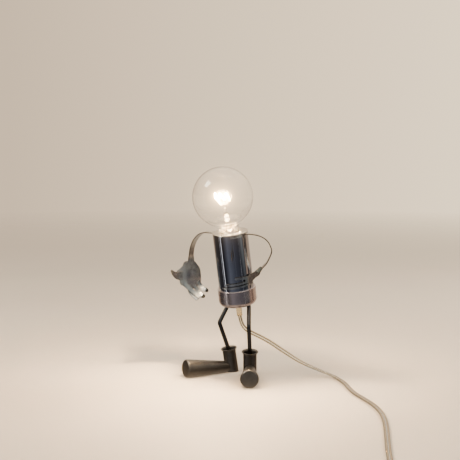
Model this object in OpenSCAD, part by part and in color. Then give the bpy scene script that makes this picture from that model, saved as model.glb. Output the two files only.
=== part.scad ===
// Robot-shaped desk lamp: a clear globe bulb for a head, a polished tube for a body,
// flat steel arms with cut-out hands, bent rod legs and turned metal feet.
// The robot faces -Y and stands on z = 0. All sizes are in millimetres.

/* [Body] */
// Outside diameter of the body tube
tube_d = 56; // [52:1:60]
// Wall of the body tube
tube_wall = 1.2; // [0.8:0.1:1.6]
// Length of tube that shows above the lip of the hip cup
tube_show = 90.4; // [80:0.2:110]
// Length of tube hidden inside the hip cup
tube_tuck = 14; // [10:1:18]
// Thickness of the top plate
plate_t = 1.6; // [1.2:0.1:2]
// Opening in the top plate
neck_hole_d = 33; // [30:1:34]
// Depth of the ring under the top plate that centres it in the tube
spigot_depth = 4; // [3:0.5:6]
// Height of the centre of the top plate above the floor
rim_z = 233; // [220:1:250]
// Forward lean of the body, in degrees
lean = 10.8; // [5:0.2:14]

/* [Hip cup] */
// Wall of the hip cup round the tube
cup_wall = 2.4; // [1.9:0.1:4]
// Height of the hip cup
cup_h = 28.3; // [26:0.1:34]
// Radius of the rounded edge at the bottom of the hip cup
cup_round = 8.5; // [5:0.5:9]
// Thickness of the cup's floor
cup_floor = 2.2; // [1.6:0.1:3]
// Distance of each hip from the middle of the body
hip_x = 20.5; // [18:0.5:22]

/* [Head] */
// Diameter of the globe bulb
globe_d = 95; // [80:1:95]
// Distance from the top plate to the centre of the globe
globe_rise = 58.4; // [58:0.2:66]
// Diameter of the bulb's neck
neck_d = 29; // [28:0.5:29.5]
// Thickness of the bulb's glass
glass_t = 0.9; // [0.6:0.1:1.2]
// Forward bow of the head against the body, in degrees
bow = 8; // [0:0.5:8.5]

/* [Arms] */
// Width of the arm strip
arm_w = 11; // [9:0.5:12]
// Thickness of the arm strip
arm_t = 1.5; // [1:0.1:1.8]
// Distance of each shoulder screw from the middle of the body
shoulder_x = 20.2; // [20:0.1:20.6]
// Sideways reach of the open hand's arm
reach = 80.7; // [74:0.5:90]
// Width of a finger of the open hand
finger_w = 7; // [5:0.5:8]
// Gap between the hip hand and the tube
grip_gap = 0.9; // [0.6:0.1:1.4]

/* [Legs and feet] */
// Diameter of the leg rods
rod_d = 6.5; // [5.5:0.25:7]
// Height of the knees above the floor
knee_z = 82.8; // [78:0.5:86]
// Forward reach of the knees from the hips
knee_reach = 16.2; // [10:0.5:20]
// Distance of each ankle from the middle of the body
ankle_x = 21.5; // [21:0.5:26]
// Height of the mouth of the ankle cups above the floor
ankle_z = 38.9; // [36:0.5:42]
// Outside diameter of the ankle cups
ankle_d = 21.6; // [20:0.2:23]
// Diameter of the flared rim of the ankle cups
ankle_rim_d = 26.4; // [25:0.2:29]
// Forward lean of the ankle cups, in degrees
ankle_lean = 9; // [5:0.5:12]
// Distance from the ankle mouth to the front of the toe
toe_reach = 79.5; // [70:0.5:84]
// Diameter of the toe end of the shoe
toe_d = 29; // [26:0.5:31]
// Diameter of the narrow end of the shoe
heel_d = 15.8; // [14:0.2:17]
// How far the shoe on the robot's left turns out, in degrees
left_turn = 35.5; // [25:0.5:40]
// How far the shoe on the robot's right turns out, in degrees
right_turn = 24; // [20:0.5:35]

/* [Lead] */
// Width of the flat twin lead
lead_w = 7.4; // [6.4:0.2:7.4]
// Thickness of the flat twin lead
lead_t = 3.6; // [3.2:0.2:3.8]
// Length of the in-line switch
switch_l = 58; // [52:1:64]
// Width of the in-line switch
switch_w = 24; // [22:1:28]
// Height of the in-line switch
switch_h = 15; // [14:0.5:17]
// Length of the plug body
plug_l = 34; // [30:1:38]
// Width of the plug body
plug_w = 35; // [32:0.5:36]
// Thickness of the plug body
plug_t = 13.7; // [13:0.1:15]

/* [Hidden] */
$fn = 64;

// Where the robot stands, so that the origin is under the middle of it
stand_x = 8;
stand_y = 7.5;
// Clearances
slide_gap = 0.1;      // between parts that slide together
pin_gap = 0.05;       // around a screw that something turns on
seam = 0.05;          // between parts joined edge to edge
cut = 1;              // how far a cut runs past a face
// Body
tube_r = tube_d / 2;
bore_r = tube_r - tube_wall;
cup_r = tube_r + slide_gap + cup_wall;
lip_z = -plate_t - tube_show;
cup_z = lip_z - cup_h;
cup_bore_r = tube_r + slide_gap;
ledge_z = lip_z - tube_tuck;
spigot_wall = 1.4;
// Shoulders, from the top plate down: washer, arm, washer, bracket tab, nut
washer_t = 0.45;
washer_r = 3.5;
tab_t = 1.3;
m3_r = 1.5;
m3_head_r = 2.8;
m3_head_h = 1.8;
m3_nut_af = 5.5;
m3_nut_h = 2.4;
arm_top = -plate_t - washer_t - pin_gap;
arm_mid = arm_top - arm_t / 2;
tab_top = arm_top - arm_t - washer_t - pin_gap;
slot_z = tab_top - slide_gap;
left_slot = [-7, 40];   // opening for the arm that bends back, in degrees
left_slot_drop = 1.4;   // that arm bends down sooner, so its opening is deeper
right_slot = [161, 199];
left_back = 37.4;       // how far the bent arm points back, in degrees
// Lampholder, measured from the centre of the top plate along the head's axis
holder_r = 19;
holder_top = -8.8;
holder_low = -45;
socket_r = 14.2;
socket_low = -34;
thread_pitch = 3.63;
thread_turns = 5;
shell_crest_r = 12.75;
shell_t = 0.5;
cap_crest_r = 13.05;
thread_depth = 0.95;
thread_top = -9.6;
thread_steps = 8;
nipple_r = 5;
nipple_bore_r = 3.9;
nipple_low = -54;
m10_nut_af = 14;
m10_nut_h = 3;
terminal_y = 9.5;
terminal_r = 1.2;
terminal_l = 6;
bracket_w = 8;
bracket_x = 23.2;
bracket_t = 1.3;
// Bulb
cap_top = -6.4;
cap_low = thread_top - thread_turns * thread_pitch;
tip_z = -32.4;
neck_top = 6;           // where the globe takes over from the neck
neck_taper = 0.7;       // how much the neck narrows down to the cap
stem_r = 4.2;
stem_top = 36;
bead_r = 2.4;
bead_rise = 1.5;        // from the stem's top to the widest part of the bead
bead_h = 2;             // from there to the bead's point
support_r = 0.25;
support_gap = 0.3;
filament_z = 60;
filament_r = 0.4;
// Hip and ankle fastenings
m5_r = 2.5;
m5_nut_af = 8;
m5_nut_h = 4;
m5_washer_r = 4.6;
m5_washer_t = 1;
hip_stub = 3;
thread_end = 2.8;       // thread that stands above the nut
hip_bend = 6;
knee_bend = 7;
ankle_bend = 9;
ankle_wall = 1.4;
cavity_depth = 17;
ankle_floor = 8;
counterbore_r = 6.5;
rim_t = 1.1;
flare_h = 6;
ankle_y = 24.8;
cup_screw_turn = [55, 125];
cup_screw_drop = 7;
cup_screw_in = 6;       // how far the screw holes run inside the tube
// Shoes
sole_flat = 0.5;
toe_round = 3;
heel_back = 10.3;
// Gland under the cup
gland_r = 5.4;
gland_flange_r = 7.5;
gland_flange_t = 1.4;
relief_l = 20;
gland_nut_af = 14;
gland_nut_h = 3;
relief_end_r = 4.6;
lead_gap = 0.15;
lead_in = 2;            // how far up the strain relief the inner flex meets the lead
// Lead: where it runs, from the strain relief to the coil, and from the coil to the plug
lead_flat_z = 1.8;
lead_route = [[1, 28.5, 85], [4, 30, 77.5], [10, 33, 71], [19, 37, 66], [31, 42, 60.5],
    [46, 49, 52], [66, 59.5, 37.5], [89, 72, 22], [114, 86, 10], [136, 90, 4],
    [155, 81, lead_flat_z], [173, 66, lead_flat_z], [192, 46, lead_flat_z],
    [212, 27, lead_flat_z], [236, 10, lead_flat_z], [261, -9, lead_flat_z],
    [284, -32, lead_flat_z], [303, -58, lead_flat_z], [320, -86, lead_flat_z],
    [343, -128, lead_flat_z], [366, -170, lead_flat_z], [388, -207, lead_flat_z],
    [409, -236, lead_flat_z], [424, -248, lead_flat_z], [434, -263, lead_flat_z],
    [436, -281, lead_flat_z], [430, -297, 2], [420, -309, 2.3]];
tail_route = [[409, -315, 6], [400, -320.3, 6], [391, -325.5, 6], [382, -330, 4.6],
    [373, -334, 2.4], [359, -341, lead_flat_z], [343, -350, lead_flat_z],
    [318, -364.5, lead_flat_z], [310, -368.4, 2.2], [301, -370, 4.4], [292, -370, 6.5],
    [286, -370, plug_t / 2], [278.6, -370, plug_t / 2]];
coil_at = [386, -279];
coil_mid_r = 39;
coil_w = 2 * lead_w + 0.4;
coil_h = 2 * lead_t + 0.4;
lead_sides = 8;
tie_t = 0.5;
tie_w = 4;
tie_gap = 0.2;
// Switch and plug on the lead
switch_at = [343, -350];
switch_turn = 210;
switch_wall = 1.8;
rocker_l = 17;
rocker_w = 10;
rocker_r = 9.5;
rocker_pin_r = 1.2;
rocker_gap = 0.35;
plug_x = 270;
plug_y = -370;
plug_relief_l = 20;
plug_pin_r = 2;
plug_pin_l = 19;
plug_pin_apart = 18.6;

// ---------- helpers ----------

function unit(v) = v / norm(v);
// The part of v that is square to t
function square_to(v, t) = unit(v - t * (v * t));
function heading(p, i) = unit(p[min(i + 1, len(p) - 1)] - p[max(i - 1, 0)]);
function ring_at(p, side, i, shape, w) =
    let (t = heading(p, i), a = square_to(side[i], t), b = cross(t, a))
    [for (q = shape) p[i] + a * q[0] * w[i] + b * q[1]];

// A section swept along points p, its width along the vectors in side
module sweep(p, side, shape, w) {
    n = len(shape);
    m = len(p);
    polyhedron(
        points = [for (i = [0 : m - 1]) each ring_at(p, side, i, shape, w)],
        faces = [
            [for (k = [0 : n - 1]) k],
            [for (k = [n - 1 : -1 : 0]) (m - 1) * n + k],
            for (i = [0 : m - 2]) for (k = [0 : n - 1])
                let (a = i * n + k, b = i * n + (k + 1) % n) each [[a, b + n, b], [a, a + n, b + n]]
        ]);
}

// A smooth curve through points, k steps between each two
function blend(a, b, c, d, t) =
    0.5 * (2 * b + (c - a) * t + (2 * a - 5 * b + 4 * c - d) * t * t
    + (3 * b - a - 3 * c + d) * t * t * t);
function smooth(p, k) = [
    for (i = [0 : len(p) - 2]) for (j = [0 : k - 1])
        blend(p[max(i - 1, 0)], p[i], p[i + 1], p[min(i + 2, len(p) - 1)], j / k),
    p[len(p) - 1]];
function smooth_loop(p, k) = let (n = len(p)) [
    for (i = [0 : n - 1]) for (j = [0 : k - 1])
        blend(p[(i + n - 1) % n], p[i], p[(i + 1) % n], p[(i + 2) % n], j / k)];

strip_shape = [[0.5, arm_t / 2], [-0.5, arm_t / 2], [-0.5, -arm_t / 2], [0.5, -arm_t / 2]];
module strip(p, side, w) sweep(p, side, strip_shape, w);

module hex(af, h, r) {
    difference() {
        rotate([0, 0, 30]) cylinder(h = h, r = af / sqrt(3), $fn = 6);
        translate([0, 0, -cut]) cylinder(h = h + 2 * cut, r = r);
    }
}

module washer(r, hole_r, h) {
    difference() {
        cylinder(h = h, r = r);
        translate([0, 0, -cut]) cylinder(h = h + 2 * cut, r = hole_r);
    }
}

// A pan-head screw, its head standing on z = 0 and its shank going down
module pan_screw(head_r, head_h, shank_r, shank_l) {
    slot_w = head_r * 0.28;
    difference() {
        intersection() {
            cylinder(h = head_h, r = head_r);
            translate([0, 0, head_h - head_r * 1.6]) sphere(r = head_r * 1.6);
        }
        translate([-head_r, -slot_w / 2, head_h * 0.5]) cube([2 * head_r, slot_w, head_h]);
    }
    translate([0, 0, -shank_l]) cylinder(h = shank_l, r = shank_r);
}

module rod(a, b, r) {
    v = b - a;
    translate(a) rotate([0, acos(v[2] / norm(v)), atan2(v[1], v[0])]) cylinder(h = norm(v), r = r);
}

// How far before a corner at b the bend of radius big begins
function bend_start(a, b, c, big) =
    big * tan(acos(unit(b - a) * unit(c - b)) / 2);

// Points round the bend of radius big at b
function bend_points(a, b, c, big, k) =
    let (u = unit(b - a), v = unit(c - b), m = square_to(v, u), turn = acos(u * v),
        o = b - u * bend_start(a, b, c, big) + m * big)
    [for (i = [0 : k]) o - m * big * cos(turn * i / k) + u * big * sin(turn * i / k)];

// A round rod through points, with a bend of its own radius at each inner point
rod_sides = 20;
bend_steps = 7;
module bent_rod(p, bends, r) {
    last = len(p) - 1;
    route = [p[0],
        for (i = [1 : last - 1]) each bend_points(p[i - 1], p[i], p[i + 1], bends[i - 1], bend_steps),
        p[last]];
    full = r / sqrt(cos(180 / rod_sides));
    sweep(route, [for (q = route) [1, 0, 0]],
        [for (i = [0 : rod_sides - 1]) full * [cos(360 * i / rod_sides), sin(360 * i / rod_sides)]],
        [for (q = route) 1]);
}

// ---------- frames ----------

module on_floor() translate([stand_x, stand_y, 0]) children();
// Origin at the centre of the top plate, z along the tube
module in_body() on_floor() translate([0, 0, rim_z]) rotate([lean, 0, 0]) children();
// The same, bowed forward with the lampholder
module in_head() in_body() rotate([bow, 0, 0]) children();
// A body point, measured on the floor's frame
function body_point(q) = [q[0], q[1] * cos(lean) - q[2] * sin(lean),
    rim_z + q[1] * sin(lean) + q[2] * cos(lean)];

function turn_of(side) = side > 0 ? left_turn : right_turn;
function toe_way(side) = [side * sin(turn_of(side)), -cos(turn_of(side)), 0];
module in_foot(side)
    on_floor() translate([side * ankle_x, ankle_y, 0])
        rotate([0, 0, -90 + side * turn_of(side)]) children();
// Origin at the mouth of the ankle cup, z along its axis
module in_ankle(side)
    in_foot(side) translate([0, 0, ankle_z]) rotate([0, ankle_lean, 0]) children();
function ankle_point(side, z) =
    [side * ankle_x, ankle_y, ankle_z] + toe_way(side) * sin(ankle_lean) * z
    + [0, 0, cos(ankle_lean) * z];

// ---------- torso ----------

module arm_slot(span, low) {
    rotate([0, 0, span[0]]) rotate_extrude(angle = span[1] - span[0])
        translate([bore_r - spigot_wall - cut, low])
            square([tube_wall + spigot_wall + 2 * cut, -low]);
}

module cup_screw_holes(r) {
    for (a = cup_screw_turn) rotate([0, 0, a])
        translate([tube_r - cup_screw_in, 0, lip_z - cup_screw_drop])
            rotate([0, 90, 0]) cylinder(h = cup_r - tube_r + cup_screw_in + cut, r = r);
}

module body_tube() color([0.55, 0.55, 0.58]) in_body() difference() {
    translate([0, 0, ledge_z]) cylinder(h = -plate_t - ledge_z, r = tube_r, $fn = 96);
    translate([0, 0, ledge_z - cut]) cylinder(h = -ledge_z + cut, r = bore_r, $fn = 96);
    arm_slot(left_slot, slot_z - left_slot_drop);
    arm_slot(right_slot, slot_z);
    cup_screw_holes(m3_r + pin_gap);
}

module top_plate() color([0.8, 0.78, 0.72]) in_body() {
    difference() {
        translate([0, 0, -plate_t]) rotate_extrude($fn = 96)
            polygon([[0, 0], [tube_r, 0], [tube_r, plate_t * 0.75], [tube_r - 0.4, plate_t],
                [0, plate_t]]);
        translate([0, 0, -plate_t - cut]) cylinder(h = plate_t + 2 * cut, r = neck_hole_d / 2);
        for (s = [-1, 1]) translate([s * shoulder_x, 0, -plate_t - cut])
            cylinder(h = plate_t + 2 * cut, r = m3_r + pin_gap);
    }
    // the ring below it stops short of the arms and the bracket
    for (span = [[left_slot[1], right_slot[0]], [right_slot[1], 360 + left_slot[0]]])
        rotate([0, 0, span[0]]) rotate_extrude(angle = span[1] - span[0])
            translate([bore_r - slide_gap - spigot_wall, -plate_t - spigot_depth])
                square([spigot_wall, spigot_depth + plate_t / 2]);
}

module cup_profile() {
    steps = 12;
    inner_r = cup_bore_r - 1.6;
    inner_round = 1.2;
    polygon([
        [0, cup_z],
        for (i = [0 : steps]) let (a = -90 + 90 * i / steps)
            [cup_r - cup_round + cup_round * cos(a), cup_z + cup_round + cup_round * sin(a)],
        [cup_r, lip_z - 0.5], [cup_r - 0.5, lip_z], [cup_bore_r, lip_z],
        [cup_bore_r, ledge_z], [inner_r, ledge_z],
        for (i = [0 : steps]) let (a = -90 * i / steps)
            [inner_r - inner_round + inner_round * cos(a),
            cup_z + cup_floor + inner_round + inner_round * sin(a)],
        [0, cup_z + cup_floor]]);
}

module hip_cup() color([0.6, 0.57, 0.58]) in_body() difference() {
    rotate_extrude($fn = 96) cup_profile();
    cup_screw_holes(m3_r + pin_gap);
    for (s = [-1, 1]) translate([s * hip_x, 0, cup_z - cut])
        cylinder(h = cup_floor + 2 * cut, r = m5_r + pin_gap);
    translate([0, 0, cup_z - cut]) cylinder(h = cup_floor + 2 * cut, r = gland_r + slide_gap);
}

module cup_screws() color([0.7, 0.7, 0.72]) in_body()
    for (a = cup_screw_turn) rotate([0, 0, a]) translate([cup_r, 0, lip_z - cup_screw_drop])
        rotate([0, 90, 0])
            pan_screw(m3_head_r, m3_head_h, m3_r, cup_r - tube_r + cup_screw_in - 2);

module holder_bracket() color([0.75, 0.75, 0.76]) {
    in_body() for (s = [-1, 1]) difference() {
        translate([s > 0 ? 17 : -bracket_x - bracket_t, -bracket_w / 2, tab_top - tab_t])
            cube([bracket_x + bracket_t - 17, bracket_w, tab_t]);
        translate([s * shoulder_x, 0, tab_top - tab_t - cut])
            cylinder(h = tab_t + 2 * cut, r = m3_r + pin_gap);
    }
    in_head() difference() {
        union() {
            for (s = [-1, 1])
                translate([s > 0 ? bracket_x : -bracket_x - bracket_t, -bracket_w / 2,
                    holder_low - bracket_t])
                    cube([bracket_t, bracket_w, tab_top - tab_t * 0.5 - holder_low + bracket_t]);
            translate([-bracket_x - bracket_t, -bracket_w / 2, holder_low - bracket_t])
                cube([2 * (bracket_x + bracket_t), bracket_w, bracket_t]);
            translate([0, 0, holder_low - bracket_t]) cylinder(h = bracket_t, r = 9);
        }
        translate([0, 0, holder_low - bracket_t - cut])
            cylinder(h = bracket_t + 2 * cut, r = nipple_r + slide_gap);
    }
}

module lampholder_body() color([0.93, 0.92, 0.88]) in_head() difference() {
    translate([0, 0, holder_low]) rotate_extrude() polygon([
        [0, 0], [holder_r - 4, 0], [holder_r - 1, 3], [holder_r - 1, 14], [holder_r, 15],
        [holder_r, holder_top - holder_low - 1], [holder_r - 1, holder_top - holder_low],
        [0, holder_top - holder_low]]);
    translate([0, 0, socket_low]) cylinder(h = holder_top - socket_low + cut, r = socket_r);
    translate([0, 0, holder_low - cut])
        cylinder(h = socket_low - holder_low + 2 * cut, r = nipple_r + slide_gap);
    for (s = [-1, 1]) translate([0, s * terminal_y, socket_low - terminal_l - 0.5])
        cylinder(h = terminal_l + 0.5 + cut, r = terminal_r + pin_gap);
}

// Points of the round-crested thread, from the low end up, at crest radius r
function thread(r) = [for (i = [0 : thread_turns * thread_steps])
    [r - thread_depth / 2 * (1 - cos(360 * i / thread_steps)), cap_low + thread_pitch * i / thread_steps]];
function reversed(p) = [for (i = [len(p) - 1 : -1 : 0]) p[i]];

module screw_shell() color([0.85, 0.62, 0.25]) in_head() rotate_extrude() polygon(concat(
    [for (q = thread(shell_crest_r + thread_depth)) [q[0] + shell_t, q[1]]],
    reversed(thread(shell_crest_r + thread_depth))));

module centre_contact() color([0.85, 0.62, 0.25]) in_head() {
    translate([6, -2.5, socket_low]) cube([5, 5, 0.6]);
    translate([-4, -2.5, tip_z - 0.8]) cube([8, 5, 0.5]);
    translate([3.6, -2.5, socket_low]) cube([0.6, 5, tip_z - 0.3 - socket_low]);
    translate([3.6, -2.5, socket_low]) cube([3, 5, 0.6]);
}

module terminal_screws() color([0.8, 0.66, 0.35]) in_head()
    for (s = [-1, 1]) translate([0, s * terminal_y, socket_low])
        pan_screw(2.4, 1.6, terminal_r, terminal_l);

module threaded_nipple() color([0.8, 0.7, 0.45]) in_head() difference() {
    translate([0, 0, nipple_low]) cylinder(h = -38 - nipple_low, r = nipple_r);
    translate([0, 0, nipple_low - cut]) cylinder(h = -38 - nipple_low + 2 * cut, r = nipple_bore_r);
}

module nipple_nut() color([0.8, 0.7, 0.45]) in_head()
    translate([0, 0, holder_low - bracket_t - m10_nut_h])
        hex(m10_nut_af, m10_nut_h, nipple_r + slide_gap);

module shoulder_screws() color([0.75, 0.75, 0.77]) in_body()
    for (s = [-1, 1]) translate([s * shoulder_x, 0, 0])
        pan_screw(m3_head_r, m3_head_h, m3_r, -tab_top + tab_t + m3_nut_h + 1);

module shoulder_nuts() color([0.75, 0.75, 0.77]) in_body()
    for (s = [-1, 1]) translate([s * shoulder_x, 0, tab_top - tab_t - m3_nut_h])
        hex(m3_nut_af, m3_nut_h, m3_r + pin_gap);

module shoulder_washers() color([0.25, 0.22, 0.2]) in_body()
    for (s = [-1, 1]) for (z = [-plate_t - washer_t, tab_top])
        translate([s * shoulder_x, 0, z]) washer(washer_r, m3_r + pin_gap, washer_t);

module hip_washers() color([0.7, 0.7, 0.72]) in_body()
    for (s = [-1, 1]) translate([s * hip_x, 0, cup_z + cup_floor])
        washer(m5_washer_r, m5_r + pin_gap, m5_washer_t);

module lead_slot(extra) {
    square([lead_w + 2 * extra - lead_t, lead_t + 2 * extra], center = true);
    for (s = [-1, 1]) translate([s * (lead_w - lead_t) / 2, 0]) circle(r = lead_t / 2 + extra);
}

module cord_gland() color([0.85, 0.85, 0.82]) in_body() difference() {
    translate([0, 0, cup_z]) union() {
        cylinder(h = cup_floor + 5, r = gland_r);
        translate([0, 0, -gland_flange_t]) cylinder(h = gland_flange_t, r = gland_flange_r);
        translate([0, 0, -relief_l]) cylinder(h = relief_l, r1 = relief_end_r, r2 = gland_r);
    }
    translate([0, 0, cup_z - relief_l - cut])
        linear_extrude(relief_l + cup_floor + 5 + 2 * cut) lead_slot(lead_gap);
}

module gland_nut() color([0.85, 0.85, 0.82]) in_body()
    translate([0, 0, cup_z + cup_floor]) hex(gland_nut_af, gland_nut_h, gland_r + slide_gap);

// ---------- lead ----------

function flat_round(w, t) = [for (i = [0 : lead_sides - 1]) let (a = 360 * (i + 0.5) / lead_sides)
    [w / 2 * cos(a) / cos(180 / lead_sides), t / 2 * sin(a) / cos(180 / lead_sides)]];
lead_shape = flat_round(lead_w, lead_t);
module inner_flex() color([0.85, 0.82, 0.75]) on_floor() {
    low = body_point([0, 0, cup_z - relief_l + lead_in]);
    neck = body_point([0, 0, cup_z + cup_floor + 8]);
    high = body_point([0, -nipple_low * sin(bow) - 1, nipple_low * cos(bow) - 4]);
    route = concat([low], smooth([neck, (neck + high) / 2 + [1, 4, 0], high - [0, 0, 8], high], 4));
    sweep(route, [for (q = route) [1, 0, 0]], lead_shape, [for (q = route) 1]);
}

// The lead takes the strain relief's line first, then follows its route: it hangs with its
// wide side facing sideways and turns over to lie flat on the floor
lead_line = smooth(concat([body_point([0, 0, cup_z - relief_l + lead_in - seam]),
    body_point([0, 0, cup_z - relief_l - 3])], lead_route), 2);
function lead_side(p, i) = let (t = heading(p, i),
    up = min(1, max(0, (i - 3) / 5)), over = min(1, max(0, (i - 14) / 7)))
    [1, 0, 0] * (1 - up) + [0, 0, up * (1 - over)] + unit(cross([0, 0, 1], t)) * over;

module cord() color([0.85, 0.82, 0.75]) on_floor() {
    sweep(lead_line, [for (i = [0 : len(lead_line) - 1]) lead_side(lead_line, i)], lead_shape,
        [for (q = lead_line) 1]);
    tail = smooth(tail_route, 2);
    sweep(tail, [for (i = [0 : len(tail) - 1]) unit(cross([0, 0, 1], heading(tail, i)))],
        lead_shape, [for (q = tail) 1]);
}

module cord_coil() color([0.85, 0.82, 0.75]) on_floor() translate([coil_at[0], coil_at[1], 0])
    rotate_extrude() translate([coil_mid_r - coil_w / 2, tie_t]) square([coil_w, coil_h]);

module cord_tie() color([0.15, 0.15, 0.15]) on_floor() translate([coil_at[0], coil_at[1], 0])
    rotate([0, 0, 165]) translate([coil_mid_r - coil_w / 2 - tie_gap - tie_t, -tie_w / 2, 0]) difference() {
        cube([coil_w + 2 * tie_gap + 2 * tie_t, tie_w, coil_h + 2 * tie_t + tie_gap]);
        translate([tie_t, -cut, tie_t]) cube([coil_w + 2 * tie_gap, tie_w + 2 * cut, coil_h + tie_gap]);
    }

// ---------- head ----------

module bulb_outline(r, grow) {
    // globe, neck and the seal inside the cap
    steps = 40;
    neck_r = neck_d / 2 - grow;
    ball_r = r - grow;
    join = 150;
    polygon([
        [0, globe_rise + ball_r],
        for (i = [1 : steps]) let (a = 90 - join * i / steps)
            [ball_r * cos(a), globe_rise + ball_r * sin(a)],
        [neck_r + 3.2, 12], [neck_r + 0.9, 8], [neck_r, 4], [neck_r - neck_taper, cap_top + 1.2],
        [12 - grow, cap_top - 0.6 + grow], [0, cap_top - 0.6 + grow]]);
}

module blown_bulb() difference() {
    rotate_extrude($fn = 96) bulb_outline(globe_d / 2, 0);
    rotate_extrude($fn = 96) bulb_outline(globe_d / 2, glass_t);
}

module bulb_glass() color([0.95, 0.93, 0.85, 0.35]) in_head() difference() {
    blown_bulb();
    translate([0, 0, cap_top - cut]) cylinder(h = neck_top - cap_top + cut, r = neck_d);
}

module bulb_neck() color([0.95, 0.93, 0.85, 0.35]) in_head() difference() {
    blown_bulb();
    translate([0, 0, neck_top - seam]) cylinder(h = globe_rise + globe_d, r = globe_d);
}

cap_rim_r = neck_d / 2 - 0.6;
module bulb_cap() color([0.8, 0.72, 0.5]) in_head() rotate_extrude() polygon(concat(
    thread(cap_crest_r),
    [[cap_crest_r, cap_top - 1.6], [cap_rim_r, cap_top - 1.6], [cap_rim_r, cap_top - 0.1],
    [cap_rim_r - 0.5, cap_top - 0.1], [cap_rim_r - 0.5, cap_top - 0.6], [11, cap_top - 0.6],
    [11, cap_top - 1.1], [12, cap_top - 2], [12, thread_top]],
    reversed([for (q = thread(cap_crest_r)) if (q[1] < thread_top - 0.1)
        [min(q[0] - 0.45, 12), q[1]]])));

module bulb_insulator() color([0.1, 0.1, 0.12]) in_head() translate([0, 0, cap_low])
    rotate_extrude() polygon([[0, -3.2], [5, -3.2], [9.5, -1.6], [11.6, -seam],
        [11.6, 0.6 - seam], [11, 0.6], [11, 1.6], [0, 1.6]]);

module bulb_contact() color([0.72, 0.72, 0.74]) in_head() translate([0, 0, tip_z]) difference() {
    translate([0, 0, 4]) sphere(r = 4.2);
    translate([-6, -6, cap_low - 3.2 - tip_z]) cube([12, 12, 12]);
    translate([0, 0, -1]) cylinder(h = 0.8, r = 6);
}

module bulb_stem() color([0.9, 0.9, 0.9, 0.4]) in_head() {
    rotate_extrude() polygon([[0, cap_top - 0.6 + glass_t], [11, cap_top - 0.6 + glass_t],
        [9, cap_top + 3], [6, 6],
        [stem_r, 14], [stem_r, 26], [3, 31], [1.4, 33], [1.4, stem_top], [bead_r, stem_top + bead_rise],
        [0, stem_top + bead_rise + bead_h]]);
}

// The coiled wire goes up and down between hooks set on an arc
filament_turns = 6;
filament_half = 15;
function hook_at(i) = let (a = -70 + 140 * i / filament_turns)
    [filament_half * sin(a), -5 * cos(a), filament_z + (i % 2 == 0 ? -4 : 6)];

module filament() color([1, 0.75, 0.35]) in_head() {
    p = smooth([for (i = [0 : filament_turns]) hook_at(i)], 3);
    sweep(p, [for (q = p) [0, 1, 0]], [for (k = [0 : 5]) filament_r * [cos(60 * k), sin(60 * k)]],
        [for (q = p) 1]);
}

module filament_supports() color([0.7, 0.7, 0.7]) in_head()
    for (i = [0 : filament_turns]) {
        q = hook_at(i);
        // at the upper hooks the wire comes down on both sides, and the support stops short of it
        gap = filament_r + support_gap + (i % 2 == 1 ? 1.3 : 0);
        foot_x = q[0] * 0.12;
        foot_y = q[1] * 0.12;
        bead_top = stem_top + bead_rise + bead_h * (1 - norm([foot_x, foot_y]) / bead_r);
        foot = [foot_x, foot_y, bead_top + support_gap];
        rod(foot, q - unit(q - foot) * gap, support_r, $fn = 16);
    }

// ---------- arms ----------

arm_straight = 45;
root_step = 0.2;        // how much the flat root stands proud of the strip that leaves it
root_w = arm_w - 2 * root_step;
right_root_l = 7;
left_root_l = 10;
arm_drop = 43;
wrist_z = 179;
hand_z = 157;
hand_twist = 25.5;
root = body_point([0, 0, arm_mid]);
arc_steps = 14;

// The open hand's arm: out to the side, round a quarter ellipse and down to the wrist
right_path = concat(
    [for (x = [shoulder_x, shoulder_x + 6, shoulder_x + 12, arm_straight - 6])
        [-x, root[1], root[2] - root_step]],
    [for (i = [0 : arc_steps]) let (a = 90 - 90 * i / arc_steps)
        [-arm_straight - (reach - arm_straight) * cos(a), root[1],
            root[2] - root_step - arm_drop * (1 - sin(a))]],
    [[-reach, root[1], wrist_z + 3], [-reach, root[1], wrist_z - 1], [-reach, root[1], wrist_z - 6]]);
right_side = [for (i = [0 : len(right_path) - 1]) let (
    lay = max(0, 1 - i / 6) * lean, twist = max(0, i - len(right_path) + 5) / 4 * hand_twist)
    [sin(twist), cos(twist) * cos(lay), sin(lay)]];

module in_right_hand() on_floor() translate([-reach, root[1], hand_z]) rotate([0, 0, -hand_twist])
    children();

// Outline of the open palm, across and up
right_palm = [[-12, 22.5], [-5, 23.5], [5, 23], [10.5, 17.5], [15.8, 9.5], [17.5, -2], [17, -13],
    [12, -19], [4, -23], [-6.5, -23], [-13.5, -18], [-19, -14.5], [-20.5, -9], [-22, -2],
    [-25, 4], [-25, 8.5], [-20.5, 11.5], [-15.5, 16]];
// Fingers of the open hand, from root to tip: across, up, and out of the palm
right_fingers = [
    [[-12, -8, 0], [-10, -16, 1], [-1.5, -25, 4], [5.5, -31.5, 9], [9.5, -36.5, 14]],
    [[-4, -16, 0], [-2.5, -27, 2], [1, -33, 5], [4.5, -37, 9], [6.5, -39.5, 12.5]],
    [[5, -15, 0], [8.5, -22, 1], [12, -29.5, 4], [15, -34, 9], [17.5, -34.5, 15]],
    [[12, -11, 0], [15.5, -18, 1.5], [19, -23, 5], [22, -25, 10], [23.5, -25, 15]]];
right_thumb = [[-15, 0, 0], [-24, 0.5, 1], [-31.5, 4, 3], [-38, 10.5, 6]];
thumb_w = [14, 13, 8, 3];
function hand_line(f) = smooth([for (q = f) [q[2], q[0], q[1]]], 3);
// Across a finger, in the plane of the palm
function hand_side(p) = [for (i = [0 : len(p) - 1]) let (t = heading(p, i)) [0, -t[2], t[1]]];
function finger_widths(n, w) = [for (i = [0 : n - 1]) let (t = i / (n - 1))
    t > 0.8 ? w * sqrt(max(0.16, 1 - pow((t - 0.8) / 0.2, 2))) : w];
function blend_widths(w, k) = [for (q = smooth([for (v = w) [v, 0, 0]], k)) q[0]];

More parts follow.
